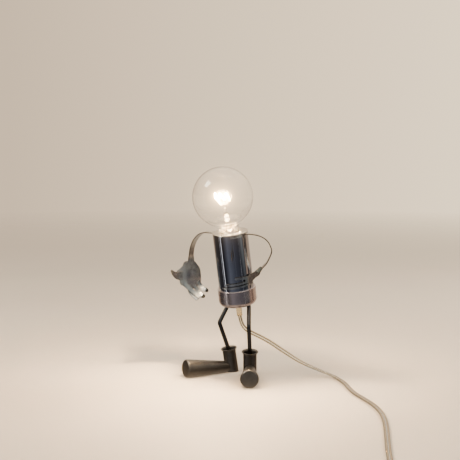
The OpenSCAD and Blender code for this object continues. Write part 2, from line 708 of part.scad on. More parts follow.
module right_arm() color([0.72, 0.72, 0.7]) {
    in_body() difference() {
        translate([0, 0, arm_mid - arm_t / 2]) union() {
            translate([-shoulder_x, 0, 0]) cylinder(h = arm_t, r = arm_w / 2);
            translate([-shoulder_x - right_root_l, -root_w / 2, 0]) cube([right_root_l, root_w, arm_t]);
        }
        translate([-shoulder_x, 0, arm_mid - arm_t]) cylinder(h = 2 * arm_t, r = m3_r + pin_gap);
    }
    on_floor() {
        out = [for (i = [1 : len(right_path) - 1]) right_path[i]];
        strip(out, [for (i = [1 : len(right_side) - 1]) right_side[i]], [for (q = out) arm_w]);
    }
    in_right_hand() {
        translate([-arm_t / 2, 0, 0]) rotate([90, 0, 90]) linear_extrude(arm_t)
            polygon(smooth_loop(right_palm, 3));
        for (f = right_fingers) {
            p = hand_line(f);
            strip(p, hand_side(p), finger_widths(len(p), finger_w));
        }
        thumb = hand_line(right_thumb);
        strip(thumb, hand_side(thumb), blend_widths(thumb_w, 3));
    }
}

// The hip hand's arm: back and out, round the elbow and in to the hip
left_out = [cos(left_back), sin(left_back)];
function left_point(u, v, z) = [shoulder_x + u * left_out[0] - v * left_out[1],
    root[1] + u * left_out[1] + v * left_out[0], z];
left_guide = [left_point(9.5, 0, 230.9), left_point(15, 0, 230.4), left_point(24, 0, 228.9),
    left_point(34.4, 0, 225.1), left_point(43.3, 0, 217.8), left_point(48.8, 0.3, 205.5),
    left_point(47.5, 1, 197), left_point(41.8, 7, 184.2), left_point(36.2, 15, 176.5),
    left_point(33.4, 21, 171.3), left_point(31.9, 26.1, 168)];
left_side_guide = [[-0.607, 0.78, 0.148], [-0.607, 0.78, 0.12], [-0.607, 0.79, 0.05],
    [-0.607, 0.794, 0], [-0.607, 0.794, 0], [-0.607, 0.794, 0], [-0.607, 0.794, 0],
    [-0.6, 0.8, 0.05], [-0.5, 0.8, 0.2], [-0.3, 0.75, 0.45], [0, 0.69, 0.72]];
grip_r = tube_r + grip_gap + arm_t / 2;
// Outline of the hip palm, back from the front edge and up from the lip of the cup
left_palm = [[-4, 23], [2, 24], [8, 23.8], [14, 24.2], [21, 25.5], [29, 27.5], [32, 25.5],
    [28.5, 20], [24, 15.2], [14, 14], [8, 12.5], [2, 10.7], [-4, 9.8]];
// Pieces bent round the tube: height at the root, height at the end, degrees round, width
// at the root, width at the end; first the heel of the hand, then two fingers and the thumb
left_fingers = [[16.6, 16.6, 22, 13, 11], [13.6, 11.7, 88, 4, 3], [9.4, 5.6, 104, 4, 3],
    [19.4, 21.8, 54, 5.4, 4]];
grip_steps = 16;
function grip_points(f) = [for (i = [0 : grip_steps]) let (t = i / grip_steps, a = 8 - (f[2] + 8) * t)
    [grip_r * cos(a) + (a > 0 ? grip_r * (1 - cos(a)) : 0), grip_r * sin(a),
    lip_z + f[0] + (f[1] - f[0]) * t]];

module left_arm() color([0.72, 0.72, 0.7]) {
    in_body() {
        difference() {
            translate([0, 0, arm_mid - arm_t / 2]) union() {
                translate([shoulder_x, 0, 0]) cylinder(h = arm_t, r = arm_w / 2);
                translate([shoulder_x, 0, 0]) rotate([0, 0, left_back])
                    translate([0, -root_w / 2, 0]) cube([left_root_l, root_w, arm_t]);
            }
            translate([shoulder_x, 0, arm_mid - arm_t]) cylinder(h = 2 * arm_t, r = m3_r + pin_gap);
        }
        translate([grip_r - arm_t / 2, 0, lip_z]) rotate([90, 0, 90]) linear_extrude(arm_t)
            polygon(smooth_loop(left_palm, 3));
        for (f = left_fingers) {
            p = grip_points(f);
            strip(p, [for (q = p) [0, 0, 1]], [for (i = [0 : grip_steps]) let (t = i / grip_steps)
                (f[3] + (f[4] - f[3]) * t) * (t > 0.93 ? 0.7 : 1)]);
        }
    }
    on_floor() {
        p = smooth(left_guide, 4);
        strip(p, smooth(left_side_guide, 4), [for (q = p) arm_w]);
    }
}

// ---------- legs ----------

function hip_point(side, z) = body_point([side * hip_x, 0, z]);
function knee_point(side) = let (h = hip_point(side, cup_z), d = toe_way(side))
    [side * (ankle_x + hip_x) / 2, h[1], 0] + d * knee_reach + [0, 0, knee_z];

module leg_rod(side) color([0.45, 0.43, 0.42]) {
    on_floor() bent_rod([hip_point(side, cup_z - pin_gap * 2), hip_point(side, cup_z - hip_stub),
        knee_point(side), ankle_point(side, -5), ankle_point(side, m5_nut_h - cavity_depth + slide_gap)],
        [hip_bend, knee_bend, ankle_bend], rod_d / 2);
    in_body() translate([side * hip_x, 0, cup_z - 2])
        cylinder(h = 2 + cup_floor + m5_washer_t + m5_nut_h + thread_end, r = m5_r);
    in_ankle(side) translate([0, 0, -cavity_depth - ankle_floor - m5_nut_h - 1.5])
        cylinder(h = ankle_floor + 2 * m5_nut_h + 3, r = m5_r);
}
module right_leg_rod() leg_rod(-1);
module left_leg_rod() leg_rod(1);

module hip_nut(side) color([0.75, 0.75, 0.77]) in_body()
    translate([side * hip_x, 0, cup_z + cup_floor + m5_washer_t + pin_gap])
        hex(m5_nut_af, m5_nut_h, m5_r + pin_gap);
module right_hip_nut() hip_nut(-1);
module left_hip_nut() hip_nut(1);

module ankle_nuts(side) color([0.75, 0.75, 0.77]) in_ankle(side)
    for (z = [slide_gap - cavity_depth, -cavity_depth - ankle_floor - m5_nut_h - slide_gap])
        translate([0, 0, z]) hex(m5_nut_af, m5_nut_h - slide_gap, m5_r + pin_gap);
module right_ankle_nuts() ankle_nuts(-1);
module left_ankle_nuts() ankle_nuts(1);

// ---------- feet ----------

below_floor = 10;       // how far cuts run below the floor
module floor_cut() translate([0, 0, -2 * below_floor])
    cube([4 * toe_reach, 4 * toe_reach, 4 * below_floor], center = true);

module ankle_profile() {
    low = -ankle_z / cos(ankle_lean) - 5;
    r = ankle_d / 2;
    flare = ankle_rim_d / 2 - r;
    steps = 6;
    polygon([[0, low], [r, low],
        for (i = [0 : steps]) let (a = 90 * i / steps)
            [r + flare * (1 - cos(a)), -flare_h + (flare_h - rim_t) * sin(a)],
        [r + flare, 0], [r + flare - rim_t, 0],
        for (i = [steps : -1 : 0]) let (a = 90 * i / steps)
            [r - ankle_wall + (flare + ankle_wall - rim_t - 1) * (1 - cos(a)),
            -flare_h - 0.5 + (flare_h - 0.2) * sin(a)],
        [r - ankle_wall, -cavity_depth], [0, -cavity_depth]]);
}

module ankle_cup(side) color([0.5, 0.5, 0.48]) difference() {
    in_ankle(side) rotate_extrude() ankle_profile();
    in_ankle(side) translate([0, 0, -cavity_depth - ankle_floor - cut])
        cylinder(h = ankle_floor + 2 * cut, r = m5_r + pin_gap);
    in_ankle(side) translate([0, 0, -ankle_z - below_floor])
        cylinder(h = ankle_z + below_floor - cavity_depth - ankle_floor, r = counterbore_r);
    in_foot(side) floor_cut();
}
module right_ankle_cup() ankle_cup(-1);
module left_ankle_cup() ankle_cup(1);

shoe_l = toe_reach + heel_back;
shoe_tilt = asin((toe_d - heel_d) / 2 / shoe_l);
module shoe_solid() {
    big = toe_d / 2;
    small = heel_d / 2;
    steps = 6;
    translate([-heel_back, 0, small - sole_flat]) rotate([0, 90 - shoe_tilt, 0]) rotate_extrude()
        polygon([[0, 0], [small, 0],
            [big - (big - small) * toe_round / shoe_l, shoe_l - toe_round],
            for (i = [1 : steps]) let (a = 90 * i / steps)
                [big - toe_round + toe_round * cos(a), shoe_l - toe_round + toe_round * sin(a)],
            [0, shoe_l]]);
}

module shoe(side) color([0.5, 0.5, 0.48]) difference() {
    in_foot(side) shoe_solid();
    in_ankle(side) translate([0, 0, -ankle_z - below_floor])
        cylinder(h = ankle_z + below_floor - flare_h, r = ankle_d / 2 + seam);
    in_foot(side) floor_cut();
}
module right_shoe() shoe(-1);
module left_shoe() shoe(1);

// ---------- switch on the lead ----------

module in_switch() on_floor() translate([switch_at[0], switch_at[1], 0]) rotate([0, 0, switch_turn])
    children();
split_z = switch_h * 0.45;
module pill(l, w, h) {
    translate([-(l - w) / 2, -w / 2, 0]) cube([l - w, w, h]);
    for (s = [-1, 1]) translate([s * (l - w) / 2, 0, 0]) cylinder(h = h, r = w / 2);
}
module lead_way() translate([-switch_l, -lead_w / 2 - 0.3, -cut])
    cube([2 * switch_l, lead_w + 0.6, lead_t + cut + 0.4]);

module switch_base() color([0.12, 0.12, 0.12]) in_switch() difference() {
    pill(switch_l, switch_w, split_z);
    translate([0, 0, switch_wall]) pill(switch_l - 2 * switch_wall, switch_w - 2 * switch_wall, switch_h);
    translate([0, 0, lead_flat_z - lead_t / 2]) lead_way();
}

rocker_z = switch_h - 4.2;
module switch_cover() color([0.12, 0.12, 0.12]) in_switch() difference() {
    translate([0, 0, split_z + seam]) pill(switch_l, switch_w, switch_h - split_z - seam);
    translate([0, 0, split_z - cut])
        pill(switch_l - 2 * switch_wall, switch_w - 2 * switch_wall, switch_h - switch_wall - split_z + cut);
    translate([-rocker_l / 2 - rocker_gap, -rocker_w / 2 - rocker_gap, split_z])
        cube([rocker_l + 2 * rocker_gap, rocker_w + 2 * rocker_gap, switch_h]);
}

module switch_rocker() color([0.2, 0.2, 0.2]) in_switch() translate([0, 0, rocker_z]) difference() {
    intersection() {
        translate([-rocker_l / 2 + 1, -rocker_w / 2, -2]) cube([rocker_l - 2, rocker_w, 7]);
        translate([0, rocker_w / 2, -4]) rotate([90, 0, 0]) cylinder(h = rocker_w, r = rocker_r);
    }
    translate([0, rocker_w, 0]) rotate([90, 0, 0]) cylinder(h = 2 * rocker_w, r = rocker_pin_r + pin_gap);
}

module switch_contacts() color([0.8, 0.66, 0.35]) in_switch() {
    // the rocker's pin, carried by two ears that stand on the base
    translate([0, (rocker_w + 6) / 2, rocker_z]) rotate([90, 0, 0])
        cylinder(h = rocker_w + 6, r = rocker_pin_r);
    for (s = [-1, 1]) translate([-2.2, s * (rocker_w / 2 + 2) - 0.8, switch_wall]) difference() {
        cube([4.4, 1.6, rocker_z + 2.2 - switch_wall]);
        translate([2.2, 3, rocker_z - switch_wall]) rotate([90, 0, 0]) cylinder(h = 6, r = rocker_pin_r);
    }
}

// ---------- plug ----------

module plug_body() color([0.12, 0.12, 0.12]) on_floor() translate([plug_x, plug_y, plug_t / 2]) {
    difference() {
        rotate([0, -90, 0]) union() {
            translate([0, 0, -0.01]) linear_extrude(plug_l) {
                square([plug_t, plug_w - plug_t], center = true);
                for (s = [-1, 1]) translate([0, s * (plug_w - plug_t) / 2]) circle(r = plug_t / 2);
            }
            translate([0, 0, -plug_relief_l]) cylinder(h = plug_relief_l, r1 = 4.6, r2 = 6);
        }
        translate([-plug_l - cut, -plug_w, plug_t / 2 - 0.6]) cube([3, 2 * plug_w, 3]);
        translate([plug_relief_l - 12, 0, 0]) rotate([90, 0, 90]) linear_extrude(13) lead_slot(lead_gap);
    }
}

module plug_pins() color([0.82, 0.7, 0.4]) on_floor()
    for (s = [-1, 1]) translate([plug_x - plug_l, plug_y + s * plug_pin_apart / 2, plug_t / 2])
        rotate([0, -90, 0]) cylinder(h = plug_pin_l, r = plug_pin_r);

body_tube();
top_plate();
hip_cup();
cup_screws();
holder_bracket();
lampholder_body();
screw_shell();
centre_contact();
terminal_screws();
threaded_nipple();
nipple_nut();
shoulder_screws();
shoulder_nuts();
shoulder_washers();
hip_washers();
cord_gland();
gland_nut();
inner_flex();
bulb_glass();
bulb_neck();
bulb_cap();
bulb_insulator();
bulb_contact();
bulb_stem();
filament();
filament_supports();
right_arm();
left_arm();
right_leg_rod();
left_leg_rod();
right_hip_nut();
left_hip_nut();
right_ankle_nuts();
left_ankle_nuts();
right_ankle_cup();
left_ankle_cup();
right_shoe();
left_shoe();
cord();
cord_coil();
cord_tie();
switch_base();
switch_cover();
switch_rocker();
switch_contacts();
plug_body();
plug_pins();
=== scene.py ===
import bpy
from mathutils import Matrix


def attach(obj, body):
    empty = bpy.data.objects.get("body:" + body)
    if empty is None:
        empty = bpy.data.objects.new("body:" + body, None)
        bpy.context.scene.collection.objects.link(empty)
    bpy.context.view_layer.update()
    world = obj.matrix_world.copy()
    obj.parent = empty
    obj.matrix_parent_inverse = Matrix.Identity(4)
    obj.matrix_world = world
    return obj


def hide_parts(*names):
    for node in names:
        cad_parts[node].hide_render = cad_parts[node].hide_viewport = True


bl_info = {
    "name": "Robot Desk Lamp",
    "version": (1, 0, 0),
    "blender": (4, 5, 0),
    "location": "3D View > Sidebar > Robot Lamp",
    "description": "Models and finishes a robot-shaped desk lamp round its packed frame",
    "category": "Add Mesh",
}

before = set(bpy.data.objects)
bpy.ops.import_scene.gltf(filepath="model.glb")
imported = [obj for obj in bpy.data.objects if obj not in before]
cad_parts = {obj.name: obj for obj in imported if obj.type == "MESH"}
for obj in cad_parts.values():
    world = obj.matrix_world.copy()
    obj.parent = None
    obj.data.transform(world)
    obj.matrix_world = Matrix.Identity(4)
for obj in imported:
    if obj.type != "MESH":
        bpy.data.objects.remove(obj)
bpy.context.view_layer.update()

import math

import bpy
from bpy.props import FloatProperty, FloatVectorProperty, IntProperty, PointerProperty
from bpy.types import Operator, Panel, PropertyGroup
from mathutils import Matrix, Vector

MM = 0.001
SIDES = (-1, 1)                       # the robot's right, then its left
SIDE_NAME = {-1: "right", 1: "left"}


# ---------- settings ----------

def length(name, description, default):
    """A size in metres."""
    return FloatProperty(name=name, description=description, default=default, min=0.0,
                         unit="LENGTH", subtype="DISTANCE", precision=4)


def angle(name, description, degrees):
    """An angle, given in degrees."""
    return FloatProperty(name=name, description=description, default=math.radians(degrees),
                         unit="ROTATION", subtype="ANGLE")


def colour(name, description, default):
    """A linear colour."""
    return FloatVectorProperty(name=name, description=description, default=default, size=3,
                               min=0.0, max=1.0, subtype="COLOR")


class LampBodySettings(PropertyGroup):
    """Sizes of the tube, the top plate and the hip cup."""

    stand_x: length("Stand X", "Middle of the robot, from the origin", 0.008)
    stand_y: length("Stand Y", "Middle of the robot, from the origin", 0.0075)
    rim_z: length("Rim height", "Height of the top plate's centre", 0.233)
    lean: angle("Lean", "Forward lean of the body", 10.8)
    tube_d: length("Tube diameter", "Outside diameter of the body tube", 0.056)
    tube_wall: length("Tube wall", "Wall of the body tube", 0.0012)
    tube_show: length("Tube shown", "Length of tube above the hip cup", 0.0904)
    tube_tuck: length("Tube tuck", "Length of tube inside the hip cup", 0.014)
    plate_t: length("Plate thickness", "Thickness of the top plate", 0.0016)
    neck_hole_d: length("Neck hole", "Opening in the top plate", 0.033)
    cup_d: length("Cup diameter", "Outside diameter of the hip cup", 0.061)
    cup_h: length("Cup height", "Height of the hip cup", 0.0283)
    cup_round: length("Cup round", "Radius of the cup's lower edge", 0.0085)
    cup_floor: length("Cup floor", "Thickness of the cup's floor", 0.0022)
    hip_x: length("Hip distance", "Distance of each hip from the middle", 0.0205)


class LampHeadSettings(PropertyGroup):
    """Sizes of the bulb."""

    bow: angle("Bow", "Forward bow of the head against the body", 8.0)
    globe_d: length("Globe diameter", "Diameter of the globe bulb", 0.095)
    globe_rise: length("Globe rise", "Top plate to the globe's centre", 0.0584)
    neck_d: length("Neck diameter", "Diameter of the bulb's neck", 0.029)
    glass_t: length("Glass thickness", "Thickness of the bulb's glass", 0.0009)


class LampArmSettings(PropertyGroup):
    """Sizes of the arms and hands."""

    arm_w: length("Arm width", "Width of the arm strip", 0.011)
    arm_t: length("Arm thickness", "Thickness of the arm strip", 0.0015)
    shoulder_x: length("Shoulder distance", "Shoulder screw from the middle", 0.0202)
    reach: length("Reach", "Sideways reach of the open hand's arm", 0.0807)
    finger_w: length("Finger width", "Width of a finger of the open hand", 0.007)
    edge: length("Edge", "Rounding of the strip's edges", 0.0003)


class LampLegSettings(PropertyGroup):
    """Sizes of the legs and feet."""

    rod_d: length("Rod diameter", "Diameter of the leg rods", 0.0065)
    knee_z: length("Knee height", "Height of the knees", 0.0828)
    knee_reach: length("Knee reach", "Forward reach of the knees", 0.0162)
    ankle_x: length("Ankle X", "Distance of each ankle from the middle", 0.0215)
    ankle_y: length("Ankle Y", "Distance of the ankles behind the middle", 0.0248)
    ankle_z: length("Ankle height", "Height of the ankle cups' mouths", 0.0389)
    ankle_d: length("Ankle diameter", "Outside diameter of the ankle cups", 0.0216)
    ankle_rim_d: length("Rim diameter", "Diameter of the cups' flared rim", 0.0264)
    ankle_lean: angle("Ankle lean", "Forward lean of the ankle cups", 9.0)
    left_turn: angle("Left turn", "How far the left shoe turns out", 35.5)
    right_turn: angle("Right turn", "How far the right shoe turns out", 24.0)
    toe_reach: length("Toe reach", "Ankle to the front of the toe", 0.0795)
    toe_d: length("Toe diameter", "Diameter of the shoe's toe end", 0.029)
    heel_d: length("Heel diameter", "Diameter of the shoe's narrow end", 0.0158)


class LampLeadSettings(PropertyGroup):
    """Sizes of the flat twin lead."""

    width: length("Lead width", "Width of the flat twin lead", 0.0074)
    thickness: length("Lead thickness", "Thickness of the flat twin lead", 0.0036)
    total: length("Lead length", "Whole length of the lead", 1.8)
    core_r: length("Core radius", "Radius of each stranded core", 0.0008)


class LampFinishSettings(PropertyGroup):
    """Colours of the finishes."""

    tube: colour("Tube", "Polished tube", (0.56, 0.57, 0.61))
    cup: colour("Cup", "Polished hip cup", (0.82, 0.71, 0.69))
    plate: colour("Plate", "Top plate", (0.90, 0.87, 0.80))
    strip: colour("Strip", "Arms and hands", (0.70, 0.71, 0.69))
    # Dark colour on the cut edges of the arms and hands: painted shade on the strip's thickness
    edge: colour("Edge", "Cut edges of the arms and hands", (0.17, 0.14, 0.12))
    rod: colour("Rod", "Leg rods", (0.12, 0.115, 0.115))
    satin: colour("Satin", "Shoes and ankle cups", (0.19, 0.175, 0.16))
    steel: colour("Steel", "Screws, nuts and brackets", (0.66, 0.65, 0.63))
    brass: colour("Brass", "Cap, shell and contacts", (0.80, 0.53, 0.22))
    porcelain: colour("Porcelain", "Lampholder", (0.86, 0.83, 0.76))
    sleeve: colour("Sleeve", "Clear lead", (0.94, 0.90, 0.80))
    strand: colour("Strand", "Tinned strands in the lead", (0.80, 0.66, 0.47))
    glow: colour("Glow", "Lit filament", (1.0, 0.66, 0.30))


class LampStageSettings(PropertyGroup):
    """Camera, floor and lights."""

    lens: FloatProperty(name="Lens", description="Focal length", default=66.13, unit="CAMERA")
    floor_size: length("Floor size", "Side of the floor", 12.0)
    floor_clear: length("Floor clear", "Distance at which the floor begins to fade", 1.2)
    floor_gone: length("Floor gone", "Distance at which only the wall is left", 4.5)
    exposure: FloatProperty(name="Exposure", description="Exposure of the picture, in stops",
                            default=0.35)
    floor: colour("Floor", "Colour of the floor", (0.60, 0.53, 0.45))
    turned_sides: IntProperty(name="Turned sides", description="Sides of a turned piece",
                              default=128, min=24, max=256)


# ---------- frames ----------

def shift(x=0.0, y=0.0, z=0.0):
    return Matrix.Translation((x, y, z))


def spun(turn, axis):
    return Matrix.Rotation(turn, 4, axis)


def on_floor():
    b = bpy.context.scene.lamp_body
    return shift(b.stand_x, b.stand_y, 0)


def in_body():
    """The centre of the top plate, z along the tube."""
    b = bpy.context.scene.lamp_body
    return on_floor() @ shift(z=b.rim_z) @ spun(b.lean, "X")


def in_head():
    return in_body() @ spun(bpy.context.scene.lamp_head.bow, "X")


def turn_of(side):
    legs = bpy.context.scene.lamp_legs
    return legs.left_turn if side > 0 else legs.right_turn


def toe_way(side):
    return Vector((side * math.sin(turn_of(side)), -math.cos(turn_of(side)), 0))


def in_foot(side):
    """The ankle's place on the floor, x towards the toe."""
    legs = bpy.context.scene.lamp_legs
    quarter = math.pi / 2
    return (on_floor() @ shift(side * legs.ankle_x, legs.ankle_y, 0)
            @ spun(side * turn_of(side) - quarter, "Z"))


def in_ankle(side):
    """The mouth of the ankle cup, z along its axis."""
    legs = bpy.context.scene.lamp_legs
    return in_foot(side) @ shift(z=legs.ankle_z) @ spun(legs.ankle_lean, "Y")


def lip_z():
    b = bpy.context.scene.lamp_body
    return -b.plate_t - b.tube_show


def cup_z():
    return lip_z() - bpy.context.scene.lamp_body.cup_h


# ---------- lines ----------

def blended(a, b, c, d, t):
    """A point between b and c on the smooth curve through a, b, c and d."""
    return 0.5 * (2 * b + (c - a) * t + (2 * a - 5 * b + 4 * c - d) * t * t
                  + (3 * b - a - 3 * c + d) * t ** 3)


def smooth(points, steps):
    """A smooth curve through points, with steps pieces between each two."""
    p = [Vector(q) for q in points]
    last = len(p) - 1
    line = [blended(p[max(i - 1, 0)], p[i], p[i + 1], p[min(i + 2, last)], j / steps)
            for i in range(last) for j in range(steps)]
    return line + [p[last]]


def smooth_loop(points, steps):
    p = [Vector(q) for q in points]
    n = len(p)
    return [blended(p[i - 1], p[i], p[(i + 1) % n], p[(i + 2) % n], j / steps)
            for i in range(n) for j in range(steps)]


def heading(line, i):
    return (line[min(i + 1, len(line) - 1)] - line[max(i - 1, 0)]).normalized()


def square_to(v, t):
    """The part of v that is square to t."""
    return (v - t * v.dot(t)).normalized()


def eased(t):
    t = min(1.0, max(0.0, t))
    return t * t * (3 - 2 * t)


def filleted(corners, steps=5):
    """A closed outline of (r, z, radius) corners, each rounded by its own radius."""
    out = []
    n = len(corners)
    for i, (x, y, radius) in enumerate(corners):
        here = Vector((x, y))
        before = Vector(corners[i - 1][:2]) - here
        after = Vector(corners[(i + 1) % n][:2]) - here
        half = before.angle(after) / 2 if before.length * after.length else math.pi / 2
        if radius <= 0 or half > math.radians(88):
            out.append(here)
            continue
        reach = radius / math.tan(half)
        start = here + before.normalized() * reach
        end = here + after.normalized() * reach
        inwards = (before.normalized() + after.normalized()).normalized()
        middle = here + inwards * radius / math.sin(half)
        u, v = start - middle, end - middle
        sweep = u.angle(v)
        for k in range(steps + 1):
            t = k / steps
            a, b = math.sin((1 - t) * sweep), math.sin(t * sweep)
            out.append(middle + (u * a + v * b) / math.sin(sweep))
    return [(q.x, q.y) for q in out]


# ---------- making pieces ----------

def deselect_all():
    if bpy.context.object and bpy.context.object.mode != "OBJECT":
        bpy.ops.object.mode_set(mode="OBJECT")
    bpy.ops.object.select_all(action="DESELECT")


def take(piece):
    """Makes piece the one selected, active object."""
    deselect_all()
    piece.select_set(True)
    bpy.context.view_layer.objects.active = piece


def edit(piece):
    take(piece)
    bpy.ops.object.mode_set(mode="EDIT")
    bpy.ops.mesh.select_mode(type="VERT")


def set_down(piece, matrix):
    """Puts the piece in its frame and keeps the place in its mesh."""
    piece.matrix_world = matrix @ piece.matrix_world
    take(piece)
    bpy.ops.object.transform_apply(location=True, rotation=True, scale=True)


def apply_modifier(piece, kind, **settings):
    take(piece)
    modifier = piece.modifiers.new(kind.title(), kind)
    for key, value in settings.items():
        setattr(modifier, key, value)
    bpy.ops.object.modifier_apply(modifier=modifier.name)


def on_all(piece, *steps):
    """Runs mesh operators, each with its settings, on the whole piece."""
    edit(piece)
    for operator, settings in steps:
        bpy.ops.mesh.select_all(action="SELECT")
        operator(**settings)
    bpy.ops.object.mode_set(mode="OBJECT")


def placed(name, data):
    """A new object in the scene."""
    piece = bpy.data.objects.new(name, data)
    bpy.context.scene.collection.objects.link(piece)
    return piece


def primitive(operator, **settings):
    """A new primitive from that operator, the one selected object."""
    deselect_all()
    operator(**settings)
    return bpy.context.object


def smoothed(piece, sharp):
    """Smooths all but the sharp edges; the large faces keep their own true normals."""
    take(piece)
    if piece.data.has_custom_normals:
        bpy.ops.mesh.customdata_custom_splitnormals_clear()
    bpy.ops.object.shade_smooth_by_angle(angle=math.radians(sharp))
    apply_modifier(piece, "WEIGHTED_NORMAL", weight=90, keep_sharp=True)
    return piece


MERGE = (bpy.ops.mesh.remove_doubles, {"threshold": 1e-6})
FACE_OUT = (bpy.ops.mesh.normals_make_consistent, {"inside": False})


def tidy_mesh(piece, sharp=35):
    """Merges doubles, turns all faces outwards and smooths all but the sharp edges."""
    on_all(piece, MERGE, FACE_OUT)
    return smoothed(piece, sharp)


def joined(name, *pieces):
    take(pieces[0])
    for other in pieces[1:]:
        other.select_set(True)
    bpy.ops.object.join()
    pieces[0].name = name
    return pieces[0]


def united(name, *pieces):
    """One closed mesh of pieces that run into each other."""
    first = pieces[0]
    for other in pieces[1:]:
        apply_modifier(first, "BOOLEAN", operation="UNION", solver="EXACT", object=other)
        bpy.data.objects.remove(other)
    first.name = name
    return first


def cut_away(piece, cutter):
    apply_modifier(piece, "BOOLEAN", operation="DIFFERENCE", solver="EXACT", object=cutter)
    bpy.data.objects.remove(cutter)


def drill(piece, matrix, radius, depth):
    """A round hole of that depth down from the origin of matrix."""
    cutter = primitive(bpy.ops.mesh.primitive_cylinder_add, vertices=48, radius=radius,
                       depth=depth, location=(0, 0, -depth / 2))
    set_down(cutter, matrix)
    cut_away(piece, cutter)


def turned(name, outline, matrix, loop=True, sides=None, whole=math.tau):
    """A piece turned about z from an outline of (radius, height), which is extruded point by point
    and spun. A loop comes back to its start; else the outline begins and ends on the axis."""
    piece = primitive(bpy.ops.mesh.primitive_plane_add, size=MM)
    piece.name = name
    edit(piece)
    bpy.ops.mesh.select_all(action="SELECT")
    bpy.ops.mesh.merge(type="CENTER")
    r, z = outline[0]
    bpy.ops.transform.translate(value=(r, 0, z))
    for next_r, next_z in outline[1:] + outline[:1] * loop:
        step = (next_r - r, 0, next_z - z)
        bpy.ops.mesh.extrude_vertices_move(TRANSFORM_OT_translate={"value": step})
        r, z = next_r, next_z
    bpy.ops.mesh.select_all(action="SELECT")
    bpy.ops.mesh.remove_doubles(threshold=1e-7)
    if whole < math.tau:
        bpy.ops.mesh.edge_face_add()
    bpy.ops.mesh.spin(steps=sides or bpy.context.scene.lamp_stage.turned_sides, angle=whole,
                      center=(0, 0, 0), axis=(0, 0, 1))
    bpy.ops.object.mode_set(mode="OBJECT")
    set_down(piece, matrix)
    return tidy_mesh(piece)


def swept(name, line, across, section, widths=None, finishes=()):
    """A section carried along a line: its x goes along each across vector, times the width there.
    With two finishes, the second one goes on all but the section's two widest sides."""
    n = len(section)
    widths = widths or [1.0] * len(line)
    points, uvs, gone = [], [], 0.0
    for i, p in enumerate(line):
        t = heading(line, i)
        a = square_to(Vector(across[i]), t)
        b = t.cross(a)
        gone += (p - line[i - 1]).length if i else 0.0
        for k, (x, y) in enumerate(section):
            points.append(p + a * x * widths[i] + b * y)
            uvs.append((k / n, gone))
    faces = [tuple(range(n))[::-1], tuple((len(line) - 1) * n + k for k in range(n))]
    faces += [(i * n + k, i * n + (k + 1) % n, (i + 1) * n + (k + 1) % n, (i + 1) * n + k)
              for i in range(len(line) - 1) for k in range(n)]
    mesh = bpy.data.meshes.new(name)
    mesh.from_pydata([tuple(p) for p in points], [], faces)
    layer = mesh.uv_layers.new(name="Along")
    for loop in mesh.loops:
        layer.data[loop.index].uv = uvs[loop.vertex_index]
    piece = placed(name, mesh)
    for finish in finishes:
        mesh.materials.append(finish)
    # The second finish is painted shade on the narrow sides
    if len(finishes) > 1:
        broad = (n // 4 - 1, 3 * n // 4 - 1)
        for face in mesh.polygons:
            face.material_index = int(face.index < 2 or (face.index - 2) % n not in broad)
    return smoothed(piece, 40)


def wire(name, line, radius, sides, matrix=None):
    """A round wire or rod along a line: a curve with a round bevel, made a mesh."""
    curve = bpy.data.curves.new(name, "CURVE")
    curve.dimensions = "3D"
    curve.bevel_depth = radius
    curve.bevel_resolution = max(1, sides // 4)
    curve.use_fill_caps = True
    spline = curve.splines.new("POLY")
    spline.points.add(len(line) - 1)
    for point, place in zip(spline.points, line):
        point.co = (*place, 1.0)
    take(placed(name, curve))
    bpy.ops.object.convert(target="MESH")
    piece = bpy.context.object
    if matrix is not None:
        set_down(piece, matrix)
    return tidy_mesh(piece, 50)


def hand_over(piece, material, slot, body, *nodes):
    """Gives a finished piece its material, its body and the CAD nodes it stands for.
    A piece that has its materials already is given none. The slot is not used."""
    if material:
        piece.data.materials.clear()
        piece.data.materials.append(material)
    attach(piece, body)
    if nodes:
        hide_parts(*nodes)
    return piece


def softened(name, node, width, material, slot, body):
    """Puts a copy of a CAD node, its faces joined and its edges broken, in the node's place."""
    piece = placed(name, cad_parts[node].data.copy())
    on_all(piece, MERGE, (bpy.ops.mesh.dissolve_limited, {"angle_limit": math.radians(0.5)}))
    apply_modifier(piece, "BEVEL", width=width, segments=2, limit_method="ANGLE",
                   angle_limit=math.radians(30), use_clamp_overlap=True)
    return hand_over(smoothed(piece, 35), material, slot, body, node)


def refinish(material, *nodes):
    """Gives CAD nodes a better material."""
    for node in nodes:
        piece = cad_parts[node]
        if not piece.material_slots:
            piece.data.materials.append(material)
        for entry in piece.material_slots:
            entry.material = material


# ---------- materials ----------

def blank(name):
    """A new material: its node tree and its shader."""
    material = bpy.data.materials.new(name)
    material.use_nodes = True
    tree = material.node_tree
    return material, tree, tree.nodes["Principled BSDF"]


def add(tree, kind, inputs=None, **settings):
    """A node of that kind; an input's value may be another node's output."""
    node = tree.nodes.new("ShaderNode" + kind)
    for key, value in settings.items():
        setattr(node, key, value)
    for key, value in (inputs or {}).items():
        if isinstance(value, bpy.types.NodeSocket):
            tree.links.new(value, node.inputs[key])
        else:
            node.inputs[key].default_value = value
    return node


def place_of(tree, frame_matrix=None, scale=(1, 1, 1)):
    """Object coordinates, seen from a piece's own frame and stretched."""
    found = add(tree, "TexCoord").outputs["Object"]
    if frame_matrix is not None:
        inverse = frame_matrix.inverted()
        found = add(tree, "Mapping", {"Vector": found, "Location": inverse.to_translation(),
                                      "Rotation": inverse.to_euler()}).outputs["Vector"]
    if tuple(scale) != (1, 1, 1):
        found = add(tree, "Mapping", {"Vector": found, "Scale": scale}).outputs["Vector"]
    return found


def noise(tree, vector, scale, detail=3.0, roughness=0.55):
    return add(tree, "TexNoise", {"Vector": vector, "Scale": scale, "Detail": detail,
                                  "Roughness": roughness}).outputs["Fac"]


